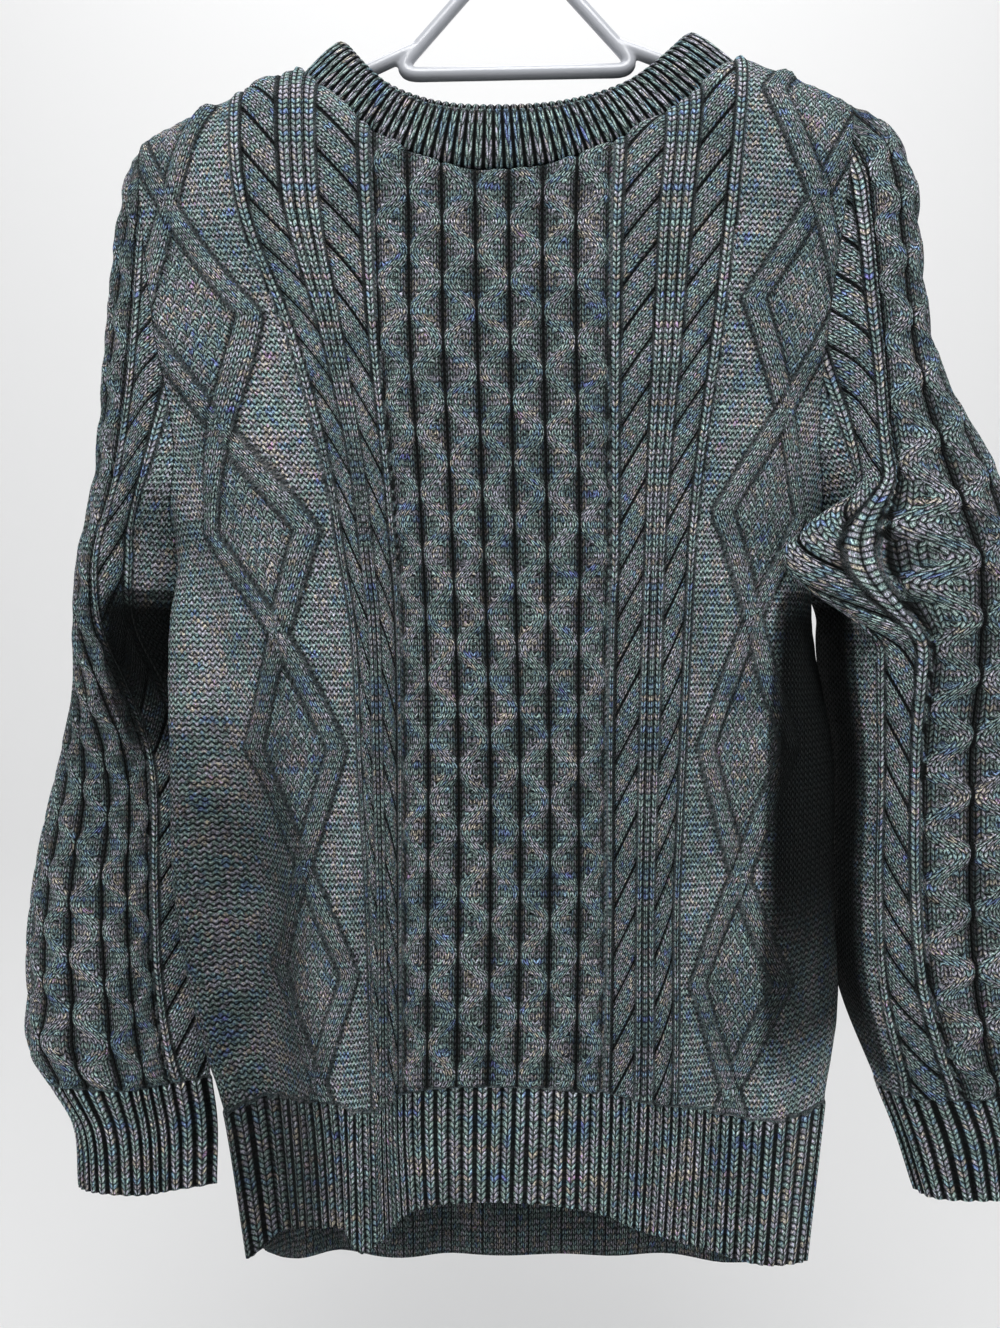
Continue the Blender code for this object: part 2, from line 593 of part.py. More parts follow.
def zigzag(hand, z):
    """Triangle wave, nought where the two travelling bands cross and 1 or -1 half way between."""
    crossings = DIAMOND_CROSSINGS[hand]
    turn = np.interp(z, crossings, np.arange(len(crossings)))
    return 1 - 2 * np.abs(np.mod(turn + 0.5, 2) - 1)


def diamonds(k, z):
    """Two bands each side of the centre that travel apart and cross, raised over plain ground."""
    rise = np.zeros_like(k)
    for hand in (-1, 1):
        reach = DIAMOND_REACH * zigzag(hand, z)
        for turn in (-1, 1):
            off = (k - hand * DIAMOND_CENTRE - turn * reach) / DIAMOND_BAND
            rise = np.maximum(rise, DIAMOND_RISE * np.sqrt(np.clip(1 - off**2, 0, 1)))
    return rise


def bands_relief(bands, k, z):
    rise = np.zeros_like(k)
    out = np.abs(k)
    for band in bands:
        inside = (out >= band.near) & (out <= band.far)
        if band.kind == "rope":
            shape = rope(out, z, band.near, band.far, 1)
        else:
            height = RIB_RISE if band.kind == "rib" else CHAIN_RISE
            shape = ridge(out, band.near, band.far, height)
        rise = np.where(inside, shape, rise)
    return rise


def body_relief(side, k, z):
    """Height of the knitting over the body's wall."""
    pattern = np.maximum(honeycomb(k, z, BODY_HONEY_COLUMNS), bands_relief(BODY_BANDS, k, z))
    pattern = np.maximum(pattern, diamonds(k, z))
    pitch = 2 * HALF_PANEL / HEM_RIBS
    ribs = RIB_RISE * np.abs(np.cos(math.pi * (k + HALF_PANEL) / pitch))
    ribs = np.where(np.isclose(np.abs(k), HALF_PANEL), 0, ribs)
    return np.where(z < welt_z(side, k) + 0.5, ribs, pattern)


def sleeve_relief(hand, turn, z):
    """Height of the knitting over a sleeve's wall."""
    rows = SLEEVES[hand]
    knit = hermite(column(rows, "z"), column(rows, "knit"), z)
    shift = hermite(column(rows, "z"), column(rows, "turn"), z)
    k = turn * knit + shift
    pattern = np.maximum(honeycomb(k, z, SLEEVE_HONEY_COLUMNS), bands_relief(SLEEVE_BANDS, k, z))
    ribs = RIB_RISE * np.abs(np.cos(math.pi * (turn + 1) / 2 * CUFF_RIBS))
    return np.where(z < SLEEVES[hand][0].z + CUFF_HEIGHT + 0.5, ribs, pattern)


# ------------------------------------------------------------------ plans of points
def spread(low, high, step):
    """Even positions from low to high, no further apart than step."""
    count = max(1, int(math.ceil((high - low) / step)))
    return np.linspace(low, high, count + 1)


def keep_in_body(side, k, v, margin, top_margin, welt=True):
    """Which points lie inside a panel, clear of its edges and of its welt."""
    z = height_z(side, k, v)
    foot = welt_z(side, k) if welt else hem_z(side, k) + 12
    inside = (v > foot + margin) & (v < top_v(side, k) - top_margin)
    left = armhole_k(-1, z) + k
    right = armhole_k(1, z) - k
    return inside & (left > margin) & (right > margin)


def body_lines(side):
    """Feature lines of a panel in (k, z): crests and valleys of every cable, rib and band."""
    low, high = -800.0, -60.0
    half = HONEY_PERIOD / 2
    turns = np.arange(math.floor(low / half), math.ceil(high / half)) * half
    lines = []
    for index in range(BODY_HONEY_COLUMNS + 1):
        ladder = (index - BODY_HONEY_COLUMNS / 2) * HONEY_COLUMN
        rows = turns[index % 2 :: 2]
        lines.append(np.stack([np.full_like(rows, ladder), rows], axis=-1))
    for index in range(BODY_HONEY_COLUMNS):
        centre = (index - (BODY_HONEY_COLUMNS - 1) / 2) * HONEY_COLUMN
        sway = HONEY_SWAY * (-1) ** index * np.cos(2 * math.pi * turns / HONEY_PERIOD)
        lines.append(np.stack([centre + sway, turns], axis=-1))
    slow = spread(low, high, SIDE_STEP)
    for hand in (-1, 1):
        for band in BODY_BANDS:
            lines += band_lines(band, hand, low, high, slow)
        lines += diamond_lines(hand)
        lines.append(np.stack([np.full_like(slow, hand * 118.0), slow + 20], axis=-1))
        for wale in SIDE_WALES:
            lines.append(np.stack([np.full_like(slow, hand * wale), slow + wale % 20], axis=-1))
    return lines


def band_lines(band, hand, low, high, slow):
    """Feature lines of one vertical band."""
    lines = []
    if band.kind != "rope":
        middle = (band.near + band.far) / 2
        lines.append(np.stack([np.full_like(slow, hand * middle), slow], axis=-1))
        lines.append(np.stack([np.full_like(slow, hand * band.near), slow + 21], axis=-1))
        return lines
    edge = np.arange(math.floor(low / ROPE_PITCH), math.ceil(high / ROPE_PITCH)) * ROPE_PITCH
    lines.append(np.stack([np.full_like(edge, hand * band.near), edge], axis=-1))
    half_width = (band.far - band.near) / 2
    middle = (band.near + band.far) / 2
    for share in (-0.45, 0.45):
        rows = np.arange(2 * len(edge)) * ROPE_PITCH / 2 + edge[0] + share / 2 * ROPE_PITCH
        wale = np.full_like(rows, hand * (middle + share * half_width))
        lines.append(np.stack([wale, rows], axis=-1))
    return lines


def diamond_lines(hand):
    """Crest and both feet of each travelling band, with points at each corner and crossing."""
    crossings = DIAMOND_CROSSINGS[hand]
    v = np.interp(np.arange(4 * len(crossings) - 3) / 4, np.arange(len(crossings)), crossings)
    reach = DIAMOND_REACH * zigzag(hand, v)
    lines = []
    for turn in (-1, 1):
        for offset in (-DIAMOND_BAND, 0.0, DIAMOND_BAND):
            lines.append(np.stack([hand * DIAMOND_CENTRE + turn * reach + offset, v], axis=-1))
    return lines


def triangulate(outline, lines, loose):
    """Triangles of the plan inside the outline that keep its lines, and each outline point's index."""
    points = [tuple(point) for point in outline]
    edges = [(index, (index + 1) % len(outline)) for index in range(len(outline))]
    for line, kept in lines:
        last = None
        for point, keep in zip(line, kept):
            if not keep:
                last = None
                continue
            index = int(keep) - 2 if int(keep) > 1 else len(points)
            if index == len(points):
                points.append(tuple(point))
            if last is not None:
                edges.append((last, index))
            last = index
    points += [tuple(point) for point in loose]
    found = delaunay_2d_cdt([Vector(point) for point in points], edges, [], 1, 1e-4)
    plan = np.array([tuple(point) for point in found[0]])
    faces = np.array(found[2])
    border = {}
    for index, origins in enumerate(found[3]):
        for origin in origins:
            if origin < len(outline):
                border[origin] = index
    return plan, faces, np.array([border[index] for index in range(len(outline))])


# ------------------------------------------------------------------ solids
def make_object(name, points, faces, material):
    """A closed solid with its doubles merged and its faces pointing outwards."""
    mesh = bpy.data.meshes.new(name)
    mesh.from_pydata([tuple(point * MM) for point in points], [], faces)
    solid = bmesh.new()
    solid.from_mesh(mesh)
    bmesh.ops.remove_doubles(solid, verts=solid.verts, dist=0.002 * MM)
    bmesh.ops.dissolve_degenerate(solid, edges=solid.edges, dist=0.001 * MM)
    bmesh.ops.recalc_face_normals(solid, faces=solid.faces)
    if solid.calc_volume(signed=True) < 0:
        bmesh.ops.reverse_faces(solid, faces=solid.faces)
    bmesh.ops.triangulate(solid, faces=solid.faces)
    solid.to_mesh(mesh)
    solid.free()
    mesh.materials.append(material)
    made = bpy.data.objects.new(name, mesh)
    bpy.context.scene.collection.objects.link(made)
    return made


def cloth_wall(name, outline, edge, lines, loose, inner, surface, normal, relief, open_rim, wall, material):
    """A closed wall of cloth. edge holds the outline's points, directions and rises in space."""
    edge_points, edge_normals, edge_rises = edge
    plan, faces, border = triangulate(outline, lines, loose)
    outer_points = surface(plan[:, 0], plan[:, 1])
    outer_normals = normal(plan[:, 0], plan[:, 1])
    outer = outer_points + outer_normals * relief(plan[:, 0], plan[:, 1])[:, None]
    outer[border] = edge_points + edge_normals * edge_rises[:, None]
    plan_in, faces_in, border_in = triangulate(outline, [], inner)
    depth = WALL + (wall - WALL) * smooth((YOKE_Z - plan_in[:, 1]) / 50)
    inner_normals = normal(plan_in[:, 0], plan_in[:, 1])
    inner_points = surface(plan_in[:, 0], plan_in[:, 1]) - inner_normals * depth[:, None]
    inner_points[border_in] = edge_points - edge_normals * WALL
    count = len(outer)
    all_faces = [tuple(int(i) for i in face) for face in faces]
    all_faces += [tuple(int(i) + count for i in face[::-1]) for face in faces_in]
    for index in range(len(outline)):
        after = (index + 1) % len(outline)
        if not open_rim[index]:
            continue
        a, b = int(border[index]), int(border[after])
        c, d = int(border_in[after]) + count, int(border_in[index]) + count
        all_faces.append((b, a, d, c))
    return make_object(name, np.concatenate([outer, inner_points]), all_faces, material)


def body_outline(side):
    """The panel's edge in (k, z), anticlockwise from the left end of the hem, with its seams named."""
    ribs = np.linspace(-HALF_PANEL, HALF_PANEL, 2 * HEM_RIBS + 1)
    outline = [(k, float(hem_z(side, [k])[0]), "hem") for k in ribs]
    runs = {}
    for hand in (1, -1):
        foot = float(hem_z(side, [hand * HALF_PANEL])[0])
        seam = [(hand * HALF_PANEL, z, "side") for z in spread(foot, UNDERARM_Z, 27.0)[1:]]
        high = tip_z(hand)
        rows = UNDERARM_Z + (high - UNDERARM_Z) * ARMHOLE_ROWS
        wales = hand * armhole_k(hand, rows)
        knitted = knitted_v(side, wales, rows)
        runs[hand] = seam + [(float(k), float(v), "arm") for k, v in zip(wales, knitted)]
    top = []
    x_line = BODY_X[-1][-1]
    fine = np.linspace(-HALF_SHOULDER, HALF_SHOULDER, 4001)
    x_fine = hermite(WALES, x_line, fine)
    psis = np.radians(np.linspace(90, -90, 31))
    neck_x = neck_curve(BAND_FOOT, side, psis)[:, 0]
    neck_k = np.interp(neck_x, x_fine, fine)
    right = np.linspace(HALF_SHOULDER, neck_k[0], 6)[:-1]
    left = np.linspace(neck_k[-1], -HALF_SHOULDER, 8)[1:]
    for k in np.concatenate([right, neck_k, left]):
        kind = "neck" if neck_k[-1] < k < neck_k[0] else "shoulder"
        top.append((float(k), float(top_v(side, [k])[0]), kind))
    return outline + runs[1] + top + runs[-1][::-1]


def body_edge(side, outline):
    """Points, wall directions and rises along a panel's edge."""
    k = np.array([point[0] for point in outline])
    z = np.array([point[1] for point in outline])
    points = body_point(side, k, z)
    normals = body_normal(side, k, z)
    other = body_normal(-side, k, np.where(z > YOKE_Z, top_v(-side, k), z))
    rises = np.zeros(len(outline))
    relief = body_relief(side, k, z)
    for index, (_, _, kind) in enumerate(outline):
        if kind == "hem" and abs(k[index]) < HALF_PANEL - 1:
            rises[index] = relief[index]
        elif kind in ("side", "hem", "shoulder"):
            if kind != "hem" or abs(k[index]) > HALF_PANEL - 1:
                normals[index] = unit(normals[index] + other[index])
        elif kind == "arm":
            hand = -1 if k[index] < 0 else 1
            normals[index] = armhole_rim(side, hand, points[index : index + 1, 2])[0]
    return points, normals, rises


def make_body(name, side, material):
    """The front or the back panel, welt and all."""
    named = body_outline(side)
    outline = np.array([(k, z) for k, z, _ in named])
    lines = []
    for line in body_lines(side):
        kept = keep_in_body(side, line[:, 0], line[:, 1], 5.0, 7.0)
        lines.append((line, list(kept)))
    for index in range(1, 2 * HEM_RIBS):
        k = outline[index, 0]
        top = float(welt_z(side, np.array([k]))[0])
        lines.append((np.array([outline[index], (k, top)]), [index + 2, True]))
    columns = [56, 80, 102, 120, 140, 160, 180] + ([0, 28] if side > 0 else [])
    columns = sorted({-k for k in columns} | set(columns))
    grid = []
    for k in columns:
        v_high = float(top_v(side, [k])[0])
        rows = [v_high - depth for depth in (4.0, 11.0, 20.0, 34.0, 56.0)]
        grid += [(float(k), float(v)) for v in rows + list(spread(-780.0, v_high - 86, 50.0))]
    for wale in SIDE_WALES:
        for row in spread(-800.0, -60.0, SIDE_STEP) + wale % 20:
            grid += [(-wale, float(row)), (wale, float(row))]
    for hand in (-1, 1):
        rows = UNDERARM_Z + (tip_z(hand) - UNDERARM_Z) * ARMHOLE_ROWS[1:8:2]
        beside = hand * (armhole_k(hand, rows) - BESIDE_ARMHOLE)
        grid += list(zip(beside, knitted_v(side, beside, rows)))
        grid.append((hand * (HALF_PANEL - BESIDE_ARMHOLE), UNDERARM_Z - 6.0))
    if side < 0:
        grid += [(spot.k, spot.v) for spot in FRONT_TURNS]
    grid = np.array(grid)
    inner = grid[keep_in_body(side, grid[:, 0], grid[:, 1], 3.0, 3.0, welt=False)]
    drawn = np.concatenate([line[np.array(kept, bool)] for line, kept in lines])
    loose = []
    for point in inner[keep_in_body(side, inner[:, 0], inner[:, 1], 4.0, 3.0)]:
        if np.min(np.hypot(drawn[:, 0] - point[0], drawn[:, 1] - point[1])) > 6.0:
            loose.append(point)
    if side < 0:
        rows = spread(CREASE_FOOT, CREASE_HIGH, CREASE_STEP)
        crease = [(wale, row) for wale in CREASE_WALES for row in rows]
        apart = [np.min(np.hypot(inner[:, 0] - k, inner[:, 1] - v)) > 4.0 for k, v in crease]
        inner = np.vstack([inner, np.array(crease)[apart]])
    surface = lambda k, z: body_point(side, k, z)
    normal = lambda k, z: body_normal(side, k, z)

    def relief(k, z):
        to_top = top_v(side, k) - z
        height = height_z(side, k, z)
        to_arm = np.minimum(armhole_k(-1, height) + k, armhole_k(1, height) - k)
        fade = smooth(to_top / EDGE_FADE) * smooth(to_arm / EDGE_FADE)
        return body_relief(side, k, z) * fade

    rim = [True] * len(outline)
    edge = body_edge(side, named)
    return cloth_wall(
        name, outline, edge, lines, loose, inner, surface, normal, relief, rim, CABLED_WALL, material
    )


def make_sleeve(name, hand, material):
    """A sleeve with its cuff: a tube of cloth open at both ends."""
    rows = SLEEVES[hand]
    foot, high = rows[0].z, tip_z(hand)
    knit = lambda z: hermite(column(rows, "z"), column(rows, "knit"), z)
    shift = lambda z: hermite(column(rows, "z"), column(rows, "turn"), z)
    arm_rows = UNDERARM_Z + (high - UNDERARM_Z) * ARMHOLE_ROWS
    seam_rows = np.concatenate([spread(foot, UNDERARM_Z, 24.0), arm_rows])
    turns = np.linspace(-1, 1, 2 * CUFF_RIBS + 1)
    outline = [(turn, foot, "cuff") for turn in turns]
    outline += [(1.0, z, "seam") for z in seam_rows[1:]]
    outline += [(0.0, high, "tip")]
    outline += [(-1.0, z, "seam") for z in seam_rows[:0:-1]]
    turn = np.array([point[0] for point in outline])
    z = np.array([point[1] for point in outline])
    plan_outline = np.stack([turn * knit(z), z], axis=-1)
    points = sleeve_point(hand, turn, z)
    normals = sleeve_normal(hand, turn, z)
    rises = np.where([kind == "cuff" for _, _, kind in outline], sleeve_relief(hand, turn, z), 0.0)
    open_rim = []
    for index, (t, height, kind) in enumerate(outline):
        if kind == "seam" and height >= UNDERARM_Z - 1e-6:
            side = -1 if t < 0 else 1
            normals[index] = armhole_rim(side, hand, np.array([height]))[0]
        if kind == "tip":
            normals[index] = armhole_rim(1, hand, np.array([high - 0.4]))[0]
        follower = outline[(index + 1) % len(outline)]
        in_seam = height < UNDERARM_Z - 1e-6 or follower[1] < UNDERARM_Z - 1e-6
        open_rim.append(not (in_seam and (kind == "seam" or follower[2] == "seam")))
    crotch = [index for index, point in enumerate(outline) if abs(point[1] - UNDERARM_Z) < 1e-6]
    shared = unit(sum(normals[index] for index in crotch))
    for index in crotch:
        normals[index] = shared
    ends = [0, 2 * CUFF_RIBS]
    shared = unit(normals[ends[0]] + normals[ends[1]])
    for index in ends:
        normals[index] = shared
        rises[index] = RIB_RISE * 0.5
    cuff_top = foot + CUFF_HEIGHT
    lines = []
    cuff_rows = np.array([z for z in seam_rows if foot < z < cuff_top - 4] + [cuff_top])
    for index in range(1, 2 * CUFF_RIBS):
        rib = np.stack([turns[index] * knit(cuff_rows), cuff_rows], axis=-1)
        lines.append((np.vstack([plan_outline[index], rib]), [index + 2] + [True] * len(rib)))

    def kept(line, margin):
        a = line[:, 0] - shift(line[:, 1])
        limit = knit(line[:, 1])
        inside = (np.abs(a) < limit - margin) & (line[:, 1] > cuff_top + margin)
        for lump in SLEEVE_LUMPS[hand]:
            if abs(lump.push_x) > 20:
                flap = a < limit * (lump.turn + 1.2 * lump.half_turn)
                inside &= ~(flap & (np.abs(line[:, 1] - lump.z) < 1.1 * lump.half_z))
        return np.stack([a, line[:, 1]], axis=-1), inside & (line[:, 1] < high - margin)

    half = HONEY_PERIOD / 2
    steps = np.arange(math.floor(foot / half), math.ceil(high / half)) * half
    raw = []
    for index in range(SLEEVE_HONEY_COLUMNS + 1):
        ladder = (index - SLEEVE_HONEY_COLUMNS / 2) * HONEY_COLUMN
        touches = steps[index % 2 :: 2]
        raw.append(np.stack([np.full_like(touches, ladder), touches], axis=-1))
    for index in range(SLEEVE_HONEY_COLUMNS):
        centre = (index - (SLEEVE_HONEY_COLUMNS - 1) / 2) * HONEY_COLUMN
        sway = HONEY_SWAY * (-1) ** index * np.cos(2 * math.pi * steps / HONEY_PERIOD)
        raw.append(np.stack([centre + sway, steps], axis=-1))
    slow = spread(foot, high, 42.0)
    for side in (-1, 1):
        for band in SLEEVE_BANDS:
            raw += band_lines(band, side, foot, high, slow)
        raw.append(np.stack([np.full_like(slow, side * 68.0), slow + 20], axis=-1))
    for line in raw:
        placed, inside = kept(line, 4.0)
        lines.append((placed, list(inside)))
    grid = []
    for level in list(spread(cuff_top + 8, high - 60, 34.0)) + [high - 34, high - 16, high - 7]:
        width = float(knit(np.array([level]))[0])
        flat = hermite(column(rows, "z"), column(rows, "inner_x") - column(rows, "outer_x"), [level])[0]
        narrow = level < UNDERARM_Z + 40 and abs(flat) < 62
        for wale in spread(-width, width, 10.5 if narrow else 17.0)[1:-1]:
            grid.append((float(wale), float(level)))
    for lump in SLEEVE_LUMPS[hand]:
        if abs(lump.push_x) < 20:
            continue
        grid = [point for point in grid if abs(point[1] - lump.z) > lump.half_z or point[0] > 0]
        for turn_at in lump.turn + lump.half_turn * FLAP_TURNS:
            for level in lump.z + lump.half_z * FLAP_LEVELS:
                grid.append((turn_at * float(knit(np.array([level]))[0]), float(level)))
    for level in list(arm_rows[1:8:2]) + [UNDERARM_Z, UNDERARM_Z - 8]:
        beside = float(knit(np.array([level]))[0]) - BESIDE_ARMHOLE
        grid += [(-beside, float(level)), (beside, float(level))]
    width = float(knit(np.array([foot + 32]))[0])
    inner = list(grid) + [(float(wale), foot + 32) for wale in spread(-width, width, 15.0)[1:-1]]
    drawn = np.concatenate([line[np.array(mask, bool)] for line, mask in lines])
    loose = []
    for point in grid:
        if np.min(np.hypot(drawn[:, 0] - point[0], drawn[:, 1] - point[1])) > 6.0:
            loose.append(point)
    surface = lambda a, b: sleeve_point(hand, np.clip(a / knit(b), -1, 1), b)
    normal = lambda a, b: sleeve_normal(hand, np.clip(a / knit(b), -1, 1), b)

    def relief(a, b):
        fade = smooth((knit(b) - np.abs(a)) / EDGE_FADE) * smooth((high - b) / EDGE_FADE)
        return sleeve_relief(hand, np.clip(a / knit(b), -1, 1), b) * fade

    edge = (points, normals, rises)
    return cloth_wall(
        name, plan_outline, edge, lines, loose, inner, surface, normal, relief, open_rim, WALL, material
    )


def make_neckband(material):
    """The doubled rib band that stands round the neck, one closed ring."""
    per_side = 84
    columns = []
    for side, psis in (
        (-1, np.linspace(-math.pi / 2, math.pi / 2, per_side + 1)[:-1]),
        (1, np.linspace(math.pi / 2, -math.pi / 2, per_side + 1)[:-1]),
    ):
        columns.append((neck_curve(BAND_FOOT, side, psis), neck_curve(BAND_TOP, side, psis)))
    foot = np.concatenate([pair[0] for pair in columns])
    top = np.concatenate([pair[1] for pair in columns])
    count = len(foot)
    along = unit(np.roll(foot, -1, axis=0) - np.roll(foot, 1, axis=0))
    up = top - foot
    height = np.linalg.norm(up, axis=1, keepdims=True)
    up = up / height
    out = unit(np.cross(along, up))
    centre = foot.mean(axis=0)
    flip = np.sign(((foot - centre) * out * np.array([1, 1, 0])).sum(axis=1, keepdims=True))
    out = out * np.where(flip == 0, 1, flip)
    rib = RIB_RISE * 0.8 * (np.arange(count) % 2)[:, None]
    rings = []
    for spot in BAND_SECTION:
        lift = BAND_GAP + (height - BAND_GAP) * spot.up
        push = spot.out + rib * spot.ribbed * (0.5 if spot.up == 1.0 else 1.0)
        rings.append(foot + up * (lift + (rib * 0.5 if spot.up == 1.0 else 0)) + out * push)
    points = np.concatenate(rings)
    faces = []
    for ring in range(len(rings)):
        after = (ring + 1) % len(rings)
        for index in range(count):
            follow = (index + 1) % count
            near, far = ring * count, after * count
            faces.append((near + index, near + follow, far + follow, far + index))
    return make_object("neckband", points, faces, material)


# ------------------------------------------------------------------ hanger
def tube_object(name, path, closed, radius, material, twist=0.0, sides=8):
    """A round tube along a path, its sections square to it, with rounded ends when open."""
    path = np.asarray(path, float)
    count = len(path)
    if closed:
        along = np.roll(path, -1, axis=0) - np.roll(path, 1, axis=0)
    else:
        along = np.gradient(path, axis=0)
    along = unit(along)
    side_axis = np.array([0.0, 1.0, 0.0])
    other = unit(np.cross(along, side_axis))
    angles = (np.arange(sides) + twist) * 2 * math.pi / sides
    rings = []
    for point, axis in zip(path, other):
        rings.append(point + radius * (np.cos(angles)[:, None] * side_axis + np.sin(angles)[:, None] * axis))
    if not closed:
        for end, inward in ((0, 1), (count - 1, -1)):
            tip = path[end] - inward * along[end] * radius * 0.55
            ring = tip + 0.72 * (rings[end] - path[end])
            rings = [ring] + rings if end == 0 else rings + [ring]
    points = np.concatenate(rings)
    faces = []
    total = len(rings)
    for index in range(total if closed else total - 1):
        after = (index + 1) % total
        for corner in range(sides):
            follow = (corner + 1) % sides
            near, far = index * sides, after * sides
            faces.append((near + corner, near + follow, far + follow, far + corner))
    if not closed:
        faces.append(tuple(range(sides)))
        faces.append(tuple(range((total - 1) * sides, total * sides)))
    return make_object(name, points, faces, material)


def rounded(corners, steps=4):
    """A closed path in the XZ plane through corners (x, z, radius), each turned as an arc."""
    points = [np.array((x, 0, z), float) for x, z, _ in corners]
    path = []
    for index, point in enumerate(points):
        radius = corners[index][2]
        before = points[index - 1]
        after = points[(index + 1) % len(points)]
        start = point + unit(before - point) * radius
        end = point + unit(after - point) * radius
        for step in range(steps + 1):
            t = step / steps
            path.append((1 - t) ** 2 * start + 2 * t * (1 - t) * point + t**2 * end)
    return path


def hook_path():
    """The hook round the rail, whose top inner point is the origin, and its stem."""
    middle = HOOK_RADIUS + TUBE
    angles = np.radians(np.linspace(205, -55, 12))
    arc = [np.array([middle * math.cos(a), 0, middle * math.sin(a) - HOOK_RADIUS]) for a in angles]
    neck = [np.array([x, 0.0, z]) for x, z in ((5.6, -43.6), (0.9, -48.5), (0, STEM_FOOT_Z + 4))]
    return arc + neck + [np.array([0.0, 0, STEM_FOOT_Z])]


def make_hanger(material):
    """Hook, centre loop and two arms, moulded in one."""
    loop = rounded(
        [
            (-LOOP_TOP_HALF, STEM_FOOT_Z, 6.0), (LOOP_TOP_HALF, STEM_FOOT_Z, 6.0),
            (LOOP_FOOT_HALF, LOOP_FOOT_Z + TILT * LOOP_FOOT_HALF, 15.0),
            (-LOOP_FOOT_HALF, LOOP_FOOT_Z - TILT * LOOP_FOOT_HALF, 15.0),
        ]
    )
    hanger = tube_object("hanger", loop, True, TUBE, material)
    pieces = [tube_object("hook_piece", hook_path(), False, TUBE - 0.1, material, twist=0.5)]
    for side in (-1, 1):
        xs = side * np.array([LOOP_HALF - 0.5, (LOOP_HALF + ARM_END) / 2, ARM_END])
        arm = [np.array([x, 0, float(arm_z(x))]) for x in xs]
        pieces.append(tube_object(f"arm_piece_{side}", arm, False, TUBE - 0.1, material, twist=0.5))
    for piece in pieces:
        union = hanger.modifiers.new(piece.name, "BOOLEAN")
        union.operation = "UNION"
        union.solver = "EXACT"
        union.object = piece
        piece.hide_render = True
        piece.display_type = "WIRE"
    return hanger


# ------------------------------------------------------------------ materials and scene
def plain_material(name, color, roughness):
    """A plain material of one colour."""
    material = bpy.data.materials.new(name)
    material.use_nodes = True
    shader = material.node_tree.nodes["Principled BSDF"]
    shader.inputs["Base Color"].default_value = color
    shader.inputs["Roughness"].default_value = roughness
    shader.inputs["Metallic"].default_value = 0.0
    material.diffuse_color = color
    return material


def clear_scene():
    """Removes every object."""
    for item in list(bpy.data.objects):
        bpy.data.objects.remove(item, do_unlink=True)


def main():
    """Builds the six pieces."""
    clear_scene()
    make_body("front", -1, plain_material("heather wool front", KNIT_COLOR, 0.95))
    make_body("back", 1, plain_material("heather wool back", KNIT_COLOR, 0.95))
    make_sleeve("sleeve_left", -1, plain_material("heather wool left sleeve", KNIT_COLOR, 0.95))
    make_sleeve("sleeve_right", 1, plain_material("heather wool right sleeve", KNIT_COLOR, 0.95))
    make_neckband(plain_material("heather wool neckband", KNIT_COLOR, 0.95))
    make_hanger(plain_material("white gloss plastic", HANGER_COLOR, 0.25))


main()
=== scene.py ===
"""Looks of a heather wool cable knit sweater hanging on a white tubular hanger.

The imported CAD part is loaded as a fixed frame, and each of its pieces gets a finely knitted
skin on the same surface. Lengths are millimetres until a mesh is made: k counts knitting
across a piece, v counts knitting up it and z is a height. The origin is the point of the
hook that bears on its rail, +X is the viewer's right and the sweater's front faces -Y.
"""

import functools  # noqa: E402
import logging  # noqa: E402
import math  # noqa: E402
from dataclasses import dataclass, field  # noqa: E402
from enum import Enum  # noqa: E402
from typing import NamedTuple, Optional, Sequence  # noqa: E402

import bpy  # noqa: E402
import numpy as np  # noqa: E402
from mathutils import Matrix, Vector  # noqa: E402


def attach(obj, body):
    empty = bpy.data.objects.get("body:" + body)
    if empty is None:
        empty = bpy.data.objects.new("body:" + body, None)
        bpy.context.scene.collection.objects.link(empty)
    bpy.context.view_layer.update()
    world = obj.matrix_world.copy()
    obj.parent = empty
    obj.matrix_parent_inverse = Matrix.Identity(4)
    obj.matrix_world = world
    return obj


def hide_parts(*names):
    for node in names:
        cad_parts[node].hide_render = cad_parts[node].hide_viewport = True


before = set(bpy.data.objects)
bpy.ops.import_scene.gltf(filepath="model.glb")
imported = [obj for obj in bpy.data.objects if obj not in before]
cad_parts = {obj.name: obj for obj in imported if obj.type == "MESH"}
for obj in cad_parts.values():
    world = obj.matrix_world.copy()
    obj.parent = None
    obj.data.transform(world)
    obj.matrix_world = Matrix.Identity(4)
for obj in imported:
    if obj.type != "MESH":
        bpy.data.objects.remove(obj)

log = logging.getLogger("sweater")
Array = np.ndarray
Socket = bpy.types.NodeSocket

MM = 0.001
COARSE = 4


class Side(Enum):
    """Which panel of the body a surface belongs to."""

    FRONT = -1
    BACK = 1


class Hand(Enum):
    """Which side of the sweater, as the viewer sees it."""

    LEFT = -1
    RIGHT = 1


